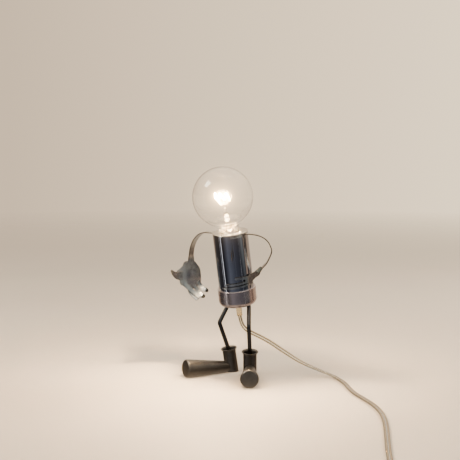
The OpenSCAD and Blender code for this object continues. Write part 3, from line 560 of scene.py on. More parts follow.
def spread(tree, value, low, high, start=0.35, end=0.65):
    """A value between start and end, spread from low to high."""
    return add(tree, "MapRange", {"Value": value, "From Min": start, "From Max": end,
                                  "To Min": low, "To Max": high}).outputs["Result"]


def mottled(tree, value, dark, light):
    """A colour between dark and light."""
    ramp = add(tree, "ValToRGB", {"Fac": value})
    ramp.color_ramp.elements[0].position = 0.3
    ramp.color_ramp.elements[1].position = 0.7
    ramp.color_ramp.elements[0].color = (*dark, 1)
    ramp.color_ramp.elements[1].color = (*light, 1)
    return ramp.outputs["Color"]


def bumped(tree, shader, height, strength, distance):
    bump = add(tree, "Bump", {"Height": height, "Strength": strength, "Distance": distance})
    tree.links.new(bump.outputs["Normal"], shader.inputs["Normal"])


def shade(tree, shader, **inputs):
    for key, value in inputs.items():
        name = key.replace("_", " ")
        if isinstance(value, bpy.types.NodeSocket):
            tree.links.new(value, shader.inputs[name])
        else:
            shader.inputs[name].default_value = value


def tinted(base, factor):
    return tuple(min(1.0, c * factor) for c in base)


def drawn(tree, pattern):
    """A pattern: what a function draws, or a noise of that scale, detail and roughness."""
    return pattern(tree) if callable(pattern) else noise(tree, place_of(tree), *pattern)


def surface(name, base, cloud, tones, rough, bump, stain=None, relief=None, **inputs):
    """A material. One pattern gives its roughness, its tone between two shares of the base colour
    and its relief, unless the stain or the relief has a pattern of its own."""
    material, tree, shader = blank(name)
    pattern = drawn(tree, cloud)
    tone = drawn(tree, stain) if stain else pattern
    height = drawn(tree, relief) if relief else pattern
    shade(tree, shader, Base_Color=mottled(tree, tone, *(tinted(base, share) for share in tones)),
          Roughness=spread(tree, pattern, *rough) if isinstance(rough, tuple) else rough, **inputs)
    bumped(tree, shader, height, *bump)
    return material


def rings(tree, frame_matrix):
    """Fine turning marks round the frame's z axis."""
    parts = add(tree, "SeparateXYZ", {"Vector": place_of(tree, frame_matrix)})
    flat = add(tree, "CombineXYZ", {"X": parts.outputs["X"], "Y": parts.outputs["Y"]})
    radius = add(tree, "VectorMath", {0: flat.outputs["Vector"]}, operation="LENGTH")
    across = add(tree, "CombineXYZ", {"X": radius.outputs["Value"], "Z": parts.outputs["Z"]})
    fine = add(tree, "Mapping", {"Vector": across.outputs["Vector"], "Scale": (5200, 1, 5200)})
    return noise(tree, fine.outputs["Vector"], 1.0, 3.0)


def brushed_ripple(tree):
    """A slow ripple under fine brushing."""
    grain = noise(tree, place_of(tree, None, (900, 900, 5200)), 1.0, 3.0)
    ripple = noise(tree, place_of(tree), 45.0, 1.0)
    return add(tree, "Math", {0: grain, 1: 0.12, 2: ripple},
               operation="MULTIPLY_ADD").outputs["Value"]


def strands(tree):
    """Strands laid round a core; they follow the core's own map."""
    along = add(tree, "UVMap", uv_map="Along").outputs["UV"]
    laid = add(tree, "Mapping", {"Vector": along, "Scale": (1, 160, 1)}).outputs["Vector"]
    return add(tree, "TexWave", {"Vector": laid, "Scale": 1.6, "Distortion": 0.2},
               bands_direction="DIAGONAL").outputs["Fac"]


def polished(name, base, frame_matrix, rough=(0.035, 0.12), scratch=0.05):
    """Plated and polished metal with smudges and hairline scratches that run along it."""
    def hairs(tree):
        return noise(tree, place_of(tree, frame_matrix, (3200, 3200, 60)), 1.0, 2.0)
    return surface(name, base, (38.0, 5.0), (0.93, 1), rough, (scratch, 0.00005),
                   stain=(160.0, 4.0), relief=hairs, Metallic=1.0)


def lathed(name, base, frame_matrix, rough=(0.32, 0.48), groove=0.25):
    """Satin metal with turning marks round its axis and a darker, handled patina."""
    return surface(name, base, (420.0, 3.0), (0.72, 1.12), rough, (groove, 0.00008),
                   stain=(55.0, 6.0, 0.62), relief=lambda tree: rings(tree, frame_matrix),
                   Metallic=1.0)


def sheet_metal(name, base):
    """Laser-cut steel strip: polished, a little rippled and finely brushed."""
    return surface(name, base, (140.0, 5.0, 0.6), (0.86, 1), (0.17, 0.27), (0.30, 0.0006),
                   relief=brushed_ripple, Metallic=1.0)


def turned_steel(name, base):
    """Plain plated steel for small fasteners."""
    return surface(name, base, (600.0, 4.0), (0.85, 1), (0.18, 0.34), (0.15, 0.00005),
                   Metallic=1.0)


def aged_brass(name, base):
    return surface(name, base, (220.0, 6.0, 0.6), (0.62, 1), (0.16, 0.38), (0.1, 0.00005),
                   Metallic=1.0)


def glazed(name, base):
    """Glazed porcelain."""
    return surface(name, base, (300.0, 3.0), (0.95, 1), (0.12, 0.26), (0.05, 0.0002),
                   Coat_Weight=0.4)


def moulded(name, base, rough=(0.30, 0.46)):
    """Moulded plastic with a fine spark-eroded grain."""
    return surface(name, base, (90.0, 4.0), (0.8, 1.25), rough, (0.25, 0.00006),
                   relief=(2600.0, 2.0))


def blown_glass(name, tint=(1.0, 1.0, 1.0)):
    """Clear blown glass with slow waves."""
    return surface(name, tint, (22.0, 1.0), (0.995, 1), 0.0, (0.05, 0.0003),
                   Transmission_Weight=1.0, IOR=1.47)


def clear_sleeve(name, base):
    """Clear flexible plastic, a little cloudy and yellowed."""
    return surface(name, base, (240.0, 3.0), (0.94, 1), (0.05, 0.14), (0.1, 0.0001),
                   Transmission_Weight=0.95, IOR=1.38)


def stranded(name, base):
    """Fine tinned strands."""
    return surface(name, base, strands, (0.55, 1), 0.25, (0.6, 0.0001), Metallic=1.0)


def glowing(name, base, strength):
    """White-hot tungsten, a little cooler along the turns of its coil."""
    material, tree, shader = blank(name)
    turns = noise(tree, place_of(tree), 1800.0, 1.0)
    shade(tree, shader, Roughness=0.5, Base_Color=(0.05, 0.04, 0.03, 1),
          Emission_Color=mottled(tree, turns, tinted(base, 0.9), base),
          Emission_Strength=strength)
    return material


def plain_floor(name, base, clear, gone):
    """A plain pale floor that fades into the wall between two distances."""
    material, tree, shader = blank(name)
    own = place_of(tree)
    cloud = noise(tree, own, 3.0, 4.0)
    grit = noise(tree, own, 260.0, 3.0)
    away = add(tree, "VectorMath", {0: own}, operation="LENGTH").outputs["Value"]
    shade(tree, shader, Roughness=spread(tree, cloud, 0.55, 0.7),
          Base_Color=mottled(tree, cloud, tinted(base, 0.97), base),
          Alpha=spread(tree, away, 1, 0, clear, gone))
    bumped(tree, shader, grit, 0.05, 0.0005)
    return material


# ---------- stage ----------

CAMERA_PLACE = (0.8160, -1.0509, 0.3466)
CAMERA_TURN = (85.2255, 0.0, 37.357)
CAMERA_WAY = math.radians(-52.6)      # where the camera stands, round the lamp
# The room that the polished metal shows, by the way round from the camera, in degrees
ROOM = [(-180, (0.44, 0.36, 0.28)), (-150, (0.36, 0.28, 0.21)), (-128, (0.05, 0.045, 0.045)),
        (-60, (0.024, 0.025, 0.031)), (-30, (0.125, 0.132, 0.155)), (10, (0.070, 0.074, 0.090)),
        (62, (0.032, 0.032, 0.038)), (83, (0.020, 0.019, 0.022)), (89, (0.34, 0.25, 0.19)),
        (97, (0.34, 0.25, 0.19)), (101, (0.07, 0.055, 0.05)), (111, (0.07, 0.055, 0.05)),
        (116, (0.36, 0.27, 0.20)), (180, (0.46, 0.38, 0.30))]
# Narrow windows in it: way round, half a width, brightness
WINDOWS = [(-74, 3.0, 1.5), (-86, 1.3, 0.9), (50, 1.3, 0.4), (14, 1.0, 0.12)]
CEILING, GROUND = (0.86, 0.78, 0.67), (0.36, 0.30, 0.24)
# Paler air at eye level: its colour, way round, half its width and its soft edge
HAZE, HAZE_WAY, HAZE_WIDE, HAZE_SOFT = (0.27, 0.285, 0.28), 12, 75, 15
# The wall behind the lamp: its dim left side, and its right side brightened by a painted glow of
# light
WALL_DIM_SIDE, WALL_GLOW_SIDE = (0.58, 0.46, 0.34), (0.95, 0.78, 0.56)
# Where haze, ceiling and ground come in, up or down from eye level
HAZE_LEVEL, CEILING_LEVEL, GROUND_LEVEL = (-0.27, -0.13), (0.30, 0.75), (-0.45, -0.85)
WALL_BLEND = 0.25                     # how far to each side the wall goes from its dim side to its painted glow
LIT = Vector((0, 0, 0.12))            # what the lights point at
# Name, place, size, power, tint, and whether polished metal shows it
LIGHTS = [("key", (-0.8, -1.0, 1.4), (0.55, 0.55), 12, (1.0, 0.92, 0.82), True),
          ("fill", (1.3, -0.5, 1.0), (0.7, 0.7), 3, (0.92, 0.95, 1.0), False),
          ("back", (0.7, 1.3, 1.1), (0.6, 0.5), 15, (1.0, 0.88, 0.74), False)]
GLOW_CLAMP = 60.0                     # high enough for the filament seen through glass
SENSOR_WIDTH = 36.0


def value_math(tree, operation, a, b=0.0):
    return add(tree, "Math", {0: a, 1: b}, operation=operation).outputs["Value"]


def mixed(tree, share, a, b, blend="MIX"):
    return add(tree, "MixRGB", {"Fac": share, "Color1": a, "Color2": b},
               blend_type=blend).outputs["Color"]


def studio_world():
    """A soft room for the metal to show, and a warm wall behind the lamp with a painted glow of
    light to its right.
    """
    world = bpy.data.worlds.new("studio")
    bpy.context.scene.world = world
    world.use_nodes = True
    tree = world.node_tree
    direction = add(tree, "TexCoord").outputs["Generated"]
    turn = add(tree, "Mapping", {"Vector": direction, "Rotation": (0, 0, -CAMERA_WAY)})
    parts = add(tree, "SeparateXYZ", {"Vector": turn.outputs["Vector"]}).outputs
    way = value_math(tree, "ARCTAN2", parts["Y"], parts["X"])

    def off(degrees):
        apart = value_math(tree, "SUBTRACT", way, math.radians(degrees))
        return value_math(tree, "ABSOLUTE", apart)

    def level(start, end):
        return spread(tree, parts["Z"], 0, 1, start, end)

    ramp = add(tree, "ValToRGB", {"Fac": spread(tree, way, 0, 1, -math.pi, math.pi)})
    stops = ramp.color_ramp.elements
    for _ in ROOM[2:]:
        stops.new(0.5)
    for stop, (degrees, tint) in zip(stops, ROOM):
        stop.position = degrees / 360 + 0.5
        stop.color = (*tint, 1)
    light = ramp.outputs["Color"]
    for degrees, half, bright in WINDOWS:
        pane = spread(tree, off(degrees), bright, 0, 0, math.radians(half))
        light = mixed(tree, 1.0, light, pane, "ADD")
    near = spread(tree, off(HAZE_WAY), 1, 0, math.radians(HAZE_WIDE - HAZE_SOFT),
                  math.radians(HAZE_WIDE))
    haze = value_math(tree, "MULTIPLY", level(*HAZE_LEVEL), near)
    for share, tint in ((haze, HAZE), (level(*CEILING_LEVEL), CEILING),
                        (level(*GROUND_LEVEL), GROUND)):
        light = mixed(tree, share, light, (*tint, 1))
    # Painted glow: the wall seen by the camera grows brighter and warmer towards the right
    side = spread(tree, parts["Y"], 0, 1, -WALL_BLEND, WALL_BLEND)
    wall = mixed(tree, side, (*WALL_DIM_SIDE, 1), (*WALL_GLOW_SIDE, 1))
    seen = add(tree, "LightPath").outputs
    looked_at = value_math(tree, "MAXIMUM", seen["Is Camera Ray"], seen["Is Transmission Ray"])
    tree.links.new(mixed(tree, looked_at, light, wall), tree.nodes["Background"].inputs["Color"])


def soft_light(name, place, size, power, tint, glossy):
    lamp = bpy.data.lights.new(name, "AREA")
    lamp.shape = "RECTANGLE"
    lamp.size, lamp.size_y = size
    lamp.energy = power
    lamp.color = tint
    piece = placed(name, lamp)
    piece.location = place
    piece.rotation_euler = (LIT - Vector(place)).to_track_quat("-Z", "Y").to_euler()
    piece.visible_transmission = False
    piece.visible_glossy = glossy


def soft_glow():
    """Lets the lit filament bleed a little into the picture round it."""
    scene = bpy.context.scene
    scene.use_nodes = True
    tree = scene.node_tree
    tree.nodes.clear()
    layer = tree.nodes.new("CompositorNodeRLayers")
    glare = tree.nodes.new("CompositorNodeGlare")
    glare.glare_type = "FOG_GLOW"
    glare.quality = "HIGH"
    for key, value in (("Threshold", 1.0), ("Strength", 1.0), ("Size", 0.5)):
        glare.inputs[key].default_value = value
    out = tree.nodes.new("CompositorNodeComposite")
    tree.links.new(layer.outputs["Image"], glare.inputs["Image"])
    tree.links.new(glare.outputs["Image"], out.inputs["Image"])


class LAMP_OT_stage(Operator):
    """Make the camera, the pale floor and the soft lights"""

    bl_idname = "lamp.stage"
    bl_label = "Stage"
    bl_options = {"REGISTER", "UNDO"}

    def execute(self, context):
        stage = context.scene.lamp_stage
        camera = placed("camera", bpy.data.cameras.new("camera"))
        camera.data.sensor_width = SENSOR_WIDTH
        camera.data.lens = stage.lens
        camera.location = CAMERA_PLACE
        camera.rotation_euler = [math.radians(a) for a in CAMERA_TURN]
        context.scene.camera = camera
        floor = primitive(bpy.ops.mesh.primitive_plane_add, size=stage.floor_size)
        floor.name = "floor"
        floor.data.materials.append(plain_floor("pale_floor", stage.floor, stage.floor_clear,
                                                stage.floor_gone))
        floor.visible_glossy = False
        studio_world()
        for light in LIGHTS:
            soft_light(*light)
        context.scene.view_settings.look = "AgX - Medium High Contrast"
        context.scene.view_settings.exposure = stage.exposure
        context.scene.cycles.sample_clamp_indirect = GLOW_CLAMP
        soft_glow()
        return {"FINISHED"}


# ---------- lead ----------

# Where the lead runs, in millimetres from the middle of the robot's feet
LEAD_ROUTE = [(1, 28.5, 85), (4, 30, 77.5), (10, 33, 71), (19, 37, 66), (31, 42, 60.5),
              (46, 49, 52), (66, 59.5, 37.5), (89, 72, 22), (114, 85.9, 10), (136, 89.7, 4),
              (155, 81, 1.8), (173, 66, 1.8), (192, 46, 1.8), (212, 27, 1.8), (236, 10, 1.8),
              (261, -9, 1.8), (284, -32, 1.8), (303, -58, 1.8), (320, -86, 1.8),
              (343, -128, 1.8), (366, -170, 1.8), (388, -207, 1.8), (409, -236, 1.8),
              (424, -248, 1.8), (433.8, -263, 1.8), (435.7, -281, 1.8), (430, -297, 2),
              (420, -309, 2.3)]
TAIL_ROUTE = [(409, -315, 6), (400, -320.3, 6), (391, -325.5, 6), (382, -330, 4.6),
              (373, -334, 2.4), (359, -341, 1.8), (343, -350, 1.8), (318, -364.5, 1.8),
              (310, -368.4, 2.2), (301, -370, 4.4), (292, -370, 6.5), (286, -370, 6.85),
              (278.6, -370, 6.85)]
COIL_MIDDLE = (386, -279)
COIL_START = -57.5            # degrees round the coil
COIL_TURNS = 4
COIL_STEP = 24                # degrees between two points
COIL_OUTER, COIL_INNER = 42.8, 35.2
COIL_LOW, COIL_HIGH = 2.3, 6.0
COIL_IN, COIL_UP, COIL_OUT = 340, 670, 1030   # degrees gone where it steps in, up and out
COIL_SHIFT = 50               # degrees that such a step takes
RELIEF_REST = 18.05           # how far down the strain relief the lead takes its line
RELIEF_PAST = 23.0            # a point below the end of the relief
# Half stretches of the route at which the lead turns on edge and then flat, and how many it takes
EDGE_FROM, EDGE_LONG, FLAT_FROM, FLAT_LONG = 3, 5, 14, 7
LEAD_STEPS = 7                # pieces between two points of the route
CORE_SIDES = 8


def coil_points():
    """Two turns beside each other on the floor and two more on top of them."""
    points = []
    for gone in range(0, 360 * COIL_TURNS - COIL_STEP // 2, COIL_STEP):
        a = math.radians(COIL_START - gone)
        inwards = (eased((gone - COIL_IN) / COIL_SHIFT)
                   - eased((gone - COIL_OUT) / COIL_SHIFT))
        radius = COIL_OUTER + (COIL_INNER - COIL_OUTER) * inwards
        height = COIL_LOW + (COIL_HIGH - COIL_LOW) * eased((gone - COIL_UP) / COIL_SHIFT)
        points.append((COIL_MIDDLE[0] + radius * math.cos(a),
                       COIL_MIDDLE[1] + radius * math.sin(a), height))
    return points


def lead_line():
    """The whole lead, from inside the strain relief to inside the plug, in metres, and the way
    that its width takes at each point."""
    body, floor = in_body(), on_floor()
    down = [body @ Vector((0, 0, cup_z() - d * MM)) for d in (RELIEF_REST, RELIEF_PAST)]
    laid = [floor @ (Vector(p) * MM) for p in LEAD_ROUTE + coil_points() + TAIL_ROUTE]
    line = smooth(down + laid, LEAD_STEPS)
    across = []
    for i, p in enumerate(line):
        k = 2 * i / LEAD_STEPS
        up = min(1.0, max(0.0, (k - EDGE_FROM) / EDGE_LONG))
        over = min(1.0, max(0.0, (k - FLAT_FROM) / FLAT_LONG))
        flat = Vector((0, 0, 1)).cross(heading(line, i))
        flat = flat.normalized() if flat.length > 1e-3 else Vector((1, 0, 0))
        across.append(Vector((1, 0, 0)) * (1 - up) + Vector((0, 0, 1)) * up * (1 - over)
                      + flat * over)
    return line, across


def twin_section(width, thickness):
    """Two round lobes with a web between them."""
    r = thickness / 2
    middle = width / 2 - r
    lobe = [math.radians(a) for a in range(-140, 141, 28)]
    right = [(middle + r * math.cos(a), r * math.sin(a)) for a in lobe]
    return right + [(-x, -y) for x, y in right]


class LAMP_OT_lead(Operator):
    """Lay the flat twin lead with its cores, strain relief, tie, switch and plug"""

    bl_idname = "lamp.lead"
    bl_label = "Lead"
    bl_options = {"REGISTER", "UNDO"}

    def execute(self, context):
        lead, finish = context.scene.lamp_lead, context.scene.lamp_finish
        line, across = lead_line()
        sleeve = swept("lead_sleeve", line, across, twin_section(lead.width, lead.thickness))
        hand_over(sleeve, clear_sleeve("clear_lead", finish.sleeve), "clear_lead", "torso",
                  "cord", "cord_coil")
        core_at = lead.width / 2 - lead.thickness / 2
        ring = [(lead.core_r * math.cos(a), lead.core_r * math.sin(a))
                for a in (math.tau * k / CORE_SIDES for k in range(CORE_SIDES))]
        cores = joined("lead_cores", *[
            swept("core", line, across, [(x + s * core_at, y) for x, y in ring]) for s in SIDES])
        hand_over(cores, stranded("tinned_strands", finish.strand), "wire", "torso")
        sleeve.visible_glossy = cores.visible_glossy = False
        black = moulded("black_moulding", (0.022, 0.022, 0.024))
        key = moulded("dark_key", (0.05, 0.05, 0.052), (0.22, 0.34))
        plastic = clear_sleeve("relief_plastic", finish.sleeve)
        tie, base, cover, rocker, plug, relief = [softened(*row) for row in (
            ("twist_tie", "cord_tie", 0.0003, black, "tie", "torso"),
            ("switch_tray", "switch_base", 0.0006, black, "black", "torso"),
            ("switch_lid", "switch_cover", 0.0009, black, "black", "torso"),
            ("switch_key", "switch_rocker", 0.0004, key, "black", "rocker"),
            ("moulded_plug", "plug_body", 0.0008, black, "black", "torso"),
            ("strain_relief", "cord_gland", 0.0003, plastic, "gland", "torso"))]
        refinish(aged_brass("contact_brass", finish.brass), "plug_pins", "switch_contacts")
        refinish(plastic, "gland_nut", "inner_flex")
        return {"FINISHED"}


# ---------- body ----------

def wedge(span, inner, outer, low, high, matrix):
    """A block bent round the axis, from one angle to another, in degrees."""
    outline = [(inner, low), (outer, low), (outer, high), (inner, high)]
    return turned("wedge", outline, matrix @ spun(math.radians(span[0]), "Z"), sides=24,
                  whole=math.radians(span[1] - span[0]))


LEFT_SLOT, RIGHT_SLOT = (-7, 40), (161, 199)      # openings for the arms, in degrees
SLOT_DEPTH, LEFT_SLOT_DROP = 0.0042, 0.0014       # below the top of the plate
SPIGOT_WALL, SPIGOT_DEPTH = 0.0014, 0.004
CUP_SCREWS = (55, 125)
CUP_SCREW_DROP = 0.007
GLAND_HOLE_R, HIP_HOLE_R, M3_HOLE_R = 0.0055, 0.00255, 0.00155
FIT, SEAT = 0.0001, 0.0016        # play round the tube, and the step in the cup that it stands on
SIDE_DRILL, TOP_DRILL, FLOOR_DRILL = 0.012, 0.004, 0.005      # how deep each drill goes


class LAMP_OT_body(Operator):
    """Turn the tube, the top plate and the hip cup, and cut their openings"""

    bl_idname = "lamp.body"
    bl_label = "Body"
    bl_options = {"REGISTER", "UNDO"}

    def execute(self, context):
        b, arms = context.scene.lamp_body, context.scene.lamp_arms
        finish = context.scene.lamp_finish
        here = in_body()
        tube_r, lip, low = b.tube_d / 2, lip_z(), cup_z()
        bore_r, ledge = tube_r - b.tube_wall, lip - b.tube_tuck
        outside = shift(b.cup_d / 2 + MM, 0, lip - CUP_SCREW_DROP)
        side_holes = [here @ spun(math.radians(a), "Z") @ outside @ spun(math.pi / 2, "Y")
                      for a in CUP_SCREWS]

        tube = turned("tube", filleted([
            (bore_r, ledge, 0.0002), (tube_r, ledge, 0.0003), (tube_r, -b.plate_t, 0.0002),
            (bore_r, -b.plate_t, 0.0002)]), here)
        for span, drop in ((LEFT_SLOT, LEFT_SLOT_DROP), (RIGHT_SLOT, 0.0)):
            cut_away(tube, wedge(span, bore_r - 0.003, tube_r + MM, -SLOT_DEPTH - drop, MM, here))
        for hole in side_holes:
            drill(tube, hole, M3_HOLE_R, SIDE_DRILL)
        tidy_mesh(tube)
        hand_over(tube, polished("polished_tube", finish.tube, here), "polished_tube", "torso",
                  "body_tube")

        plate = turned("plate", filleted([
            (b.neck_hole_d / 2, -b.plate_t, 0.0002), (tube_r, -b.plate_t, 0.0002),
            (tube_r, 0, 0.0005), (b.neck_hole_d / 2, 0, 0.0003)]), here)
        inner = bore_r - FIT - SPIGOT_WALL
        for span in ((LEFT_SLOT[1], RIGHT_SLOT[0]), (RIGHT_SLOT[1], 360 + LEFT_SLOT[0])):
            united("plate", plate, wedge(span, inner, inner + SPIGOT_WALL,
                                         -b.plate_t - SPIGOT_DEPTH, -b.plate_t / 2, here))
        for side in SIDES:
            drill(plate, here @ shift(side * arms.shoulder_x, 0, MM), M3_HOLE_R, TOP_DRILL)
        tidy_mesh(plate)
        hand_over(plate, lathed("satin_plate", finish.plate, here, (0.10, 0.2), 0.1), "plate",
                  "torso", "top_plate")

        cup_r, sleeve_r = b.cup_d / 2, tube_r + FIT
        inner = sleeve_r - SEAT
        floor = low + b.cup_floor
        cup = turned("cup", filleted([
            (GLAND_HOLE_R, low, 0), (cup_r, low, b.cup_round), (cup_r, lip, 0.0006),
            (sleeve_r, lip, 0.0001), (sleeve_r, ledge, 0), (inner, ledge, 0.0002),
            (inner, floor, 0.0012), (GLAND_HOLE_R, floor, 0)], 12), here)
        for hole in side_holes:
            drill(cup, hole, M3_HOLE_R, SIDE_DRILL)
        for side in SIDES:
            drill(cup, here @ shift(side * b.hip_x, 0, floor + MM), HIP_HOLE_R, FLOOR_DRILL)
        tidy_mesh(cup)
        hand_over(cup, polished("polished_cup", finish.cup, here, (0.20, 0.32)), "cup", "torso",
                  "hip_cup")
        return {"FINISHED"}


# ---------- head ----------

NECK_SEAL = 0.007              # the glass ends this far below the head's origin
GLOBE_JOIN = 150               # degrees of the globe's outline above the neck
HOOKS = 7
HOOK_ARC = 0.015               # radius of the arc that the hooks stand on
FILAMENT_Z = 0.060
HOOK_UP, HOOK_DOWN = 0.006, 0.004
HOOK_SPREAD, HOOK_BOW = 70, 0.005      # degrees to each side, and how far the arc bows
STEM_TOP, BEAD_R = 0.036, 0.0024
HELIX_R, HELIX_PITCH, HELIX_SIDES = 0.00034, 0.00045, 8     # the filament's fine coil
FILAMENT_R, SUPPORT_R = 0.00016, 0.00022
ROOT_SPREAD, ROOT_RISE = 0.12, 0.0022  # where the supports stand in the bead of the stem
HOOK_SHORT = (0.0007, 0.0020)          # how far below a low and a high hook its wire ends
WHITE_HOT = 1500.0
GLOW_POWER, GLOW_SIZE, GLOW_TINT = 5.5, 0.012, (1.0, 0.72, 0.42)


def globe_outline(inset):
    """The bulb's outline from the top of the globe to the seal, set in by inset."""
    h = bpy.context.scene.lamp_head
    ball, neck = h.globe_d / 2 - inset, h.neck_d / 2 - inset
    steps = 56
    arc = [(ball * math.sin(a), h.globe_rise + ball * math.cos(a))
           for a in (math.radians(GLOBE_JOIN * i / steps) for i in range(steps + 1))]
    arc[0] = (0.0, h.globe_rise + ball)
    r, z = arc[-1]
    flare = smooth([(*q, 0) for q in (
        arc[-2], (r, z), (neck + 0.0032, 0.012), (neck + 0.0009, 0.008), (neck, 0.004),
        (neck - 0.0007, -0.0052), (0.012 - inset, -NECK_SEAL + inset))], 4)
    return arc + [(q.x, q.y) for q in flare[5:]] + [(0.0, -NECK_SEAL + inset)]


def hook(i):
    """The top of a support, where the filament hangs."""
    a = math.radians(-HOOK_SPREAD + 2 * HOOK_SPREAD * i / (HOOKS - 1))
    return Vector((HOOK_ARC * math.sin(a), -HOOK_BOW * math.cos(a),
                   FILAMENT_Z + (HOOK_UP if i % 2 else -HOOK_DOWN)))


def coiled(line):
    """The filament's fine helix round a line."""
    points, turn = [], 0.0
    for i in range(len(line) - 1):
        t = line[i + 1] - line[i]
        pieces = max(1, round(t.length / HELIX_PITCH * HELIX_SIDES))
        a = square_to(Vector((0, 1, 0)), t.normalized())
        b = t.normalized().cross(a)
        for k in range(pieces):
            turn += math.tau / HELIX_SIDES
            around = a * math.cos(turn) + b * math.sin(turn)
            points.append(line[i] + t * k / pieces + around * HELIX_R)
    return points


class LAMP_OT_head(Operator):
    """Blow the bulb's glass, draw its filament and finish its cap and holder"""

    bl_idname = "lamp.head"
    bl_label = "Head"
    bl_options = {"REGISTER", "UNDO"}

    def execute(self, context):
        h, finish = context.scene.lamp_head, context.scene.lamp_finish
        here = in_head()
        outside = turned("globe", globe_outline(0.0), here, loop=False)
        inside = turned("globe_inside", globe_outline(h.glass_t), here, loop=False)
        on_all(inside, (bpy.ops.mesh.flip_normals, {}))
        globe = joined("globe", outside, inside)
        globe.visible_shadow = False
        hand_over(globe, blown_glass("blown_glass"), "bulb", "bulb", "bulb_glass", "bulb_neck")

        seal = -NECK_SEAL + h.glass_t
        stem = turned("stem", [(0, seal)] + filleted([
            (0.011, seal, 0.0005), (0.009, -0.0034, 0.003), (0.006, 0.006, 0.004),
            (0.0042, 0.014, 0.004), (0.0042, 0.026, 0.004), (0.003, 0.031, 0.002),
            (0.0014, 0.033, 0.001), (0.0014, STEM_TOP, 0.0006), (BEAD_R, 0.0375, 0.0009),
            (0.0006, 0.0390, 0)]) + [(0, 0.0394)], here, loop=False, sides=64)
        stem.visible_shadow = False
        hand_over(stem, blown_glass("stem_glass", (0.99, 0.98, 0.95)), "bulb", "bulb", "bulb_stem")

        hooks = [hook(i) for i in range(HOOKS)]
        filament = wire("coiled_filament", coiled(smooth(hooks, 8)), FILAMENT_R, 4, here)
        hand_over(filament, glowing("white_hot", finish.glow, WHITE_HOT), "glow", "bulb",
                  "filament")
        pieces = []
        for i, top in enumerate(hooks):
            foot = Vector((top.x * ROOT_SPREAD, top.y * ROOT_SPREAD, STEM_TOP + ROOT_RISE))
            end = top - (top - foot).normalized() * HOOK_SHORT[i % 2]
            line = [foot, foot + (end - foot) * 0.5, end]
            pieces.append(wire("support", line, SUPPORT_R, 8, here))
        supports = joined("supports", *pieces)
        hand_over(supports, turned_steel("support_wire", (0.50, 0.47, 0.44)), "wire", "bulb",
                  "filament_supports")
        glow = bpy.data.lights.new("glow", "POINT")
        glow.energy = GLOW_POWER
        glow.color = GLOW_TINT
        glow.shadow_soft_size = GLOW_SIZE
        lamp = placed("glow", glow)
        lamp.location = here @ Vector((0, 0, FILAMENT_Z))
        lamp.visible_camera = lamp.visible_transmission = False

        brass = aged_brass("aged_brass", finish.brass)
        refinish(brass, "bulb_cap", "screw_shell", "centre_contact", "terminal_screws",
                 "threaded_nipple", "nipple_nut")
        refinish(turned_steel("solder", (0.62, 0.62, 0.64)), "bulb_contact")
        refinish(moulded("black_glass", (0.012, 0.012, 0.014), (0.08, 0.16)), "bulb_insulator")
        refinish(glazed("porcelain", finish.porcelain), "lampholder_body")
        return {"FINISHED"}


# ---------- arms ----------

ARM_DROP, ARM_STRAIGHT = 0.043, 0.045
WRIST_TOP, HAND_Z = 0.187, 0.157
TWIST_TOP, TWIST_LONG = 0.192, 0.012     # where the strip turns into the plane of the palm
HAND_TWIST = math.radians(25.5)
LEFT_BACK = math.radians(37.4)
ROOT_STEP = 0.0002
WASHER_T, PIN_GAP = 0.00045, 0.00005
GRIP_GAP = 0.0009
GRIP_START = 8                           # degrees in front of the palm where its fingers start
GRIP_STEPS = 32
THINNER = 0.00004                        # a strip is this much thinner than its palm
ARM_DRILL = 0.006
EYE_STEPS = 8
# Stands a plate that lies across z across x instead
UPRIGHT = Matrix(((0, 0, 1, 0), (1, 0, 0, 0), (0, 1, 0, 0), (0, 0, 0, 1)))

# Outline of the open palm, across and up, in millimetres
RIGHT_PALM = [(-12, 22.5), (-5, 23.5), (5, 23), (10.5, 17.5), (15.8, 9.5), (17.5, -2), (17, -13),
              (12, -19), (4, -23), (-6.5, -23), (-13.5, -18), (-19, -14.5), (-20.5, -9), (-22, -2),
              (-25, 4), (-25, 8.5), (-20.5, 11.5), (-15.5, 16)]
# Fingers of the open hand, from root to tip: across, up, and out of the palm
RIGHT_FINGERS = [
    [(-12, -8, 0), (-10, -16, 1), (-1.5, -25, 4), (5.5, -31.5, 9), (9.5, -36.5, 14)],
    [(-4, -16, 0), (-2.5, -27, 2), (1, -33, 5), (4.5, -37, 9), (6.5, -39.5, 12.5)],
    [(5, -15, 0), (8.5, -22, 1), (12, -29.5, 4), (15, -34, 9), (17.5, -34.5, 15)],
    [(12, -11, 0), (15.5, -18, 1.5), (19, -23, 5), (22, -25, 10), (23.5, -25, 15)]]
RIGHT_THUMB = [(-15, 0, 0), (-24, 0.5, 1), (-31.5, 4, 3), (-38, 10.5, 6)]
THUMB_WIDTHS = (14, 13, 8, 3)
# The bent arm: along the way it points back, across it, and up
LEFT_GUIDE = [(9.5, 0, 230.9), (15, 0, 230.4), (24, 0, 228.9), (34.4, 0, 225.1), (43.3, 0, 217.8),
              (48.8, 0.3, 205.5), (47.5, 1, 197), (41.8, 7, 184.2), (36.2, 15, 176.5),
              (33.4, 21, 171.3), (31.9, 26.1, 168)]
LEFT_ACROSS = [(-0.607, 0.78, 0.148), (-0.607, 0.78, 0.12), (-0.607, 0.79, 0.05)] + [
    (-0.607, 0.794, 0)] * 4 + [(-0.6, 0.8, 0.05), (-0.5, 0.8, 0.2), (-0.3, 0.75, 0.45),
                               (0, 0.69, 0.72)]
# Outline of the hip palm, back from the front edge and up from the lip of the cup
LEFT_PALM = [(-4, 23), (2, 24), (8, 23.8), (14, 24.2), (21, 25.5), (29, 27.5), (32, 25.5),
             (28.5, 20), (24, 15.2), (14, 14), (8, 12.5), (2, 10.7), (-4, 9.8)]
# Pieces bent round the tube: height at the root and at the end, degrees round, width at each
LEFT_FINGERS = [(16.6, 16.6, 22, 13, 11), (13.6, 11.7, 88, 4, 3), (9.4, 5.6, 104, 4, 3),
                (19.4, 21.8, 54, 5.4, 4)]


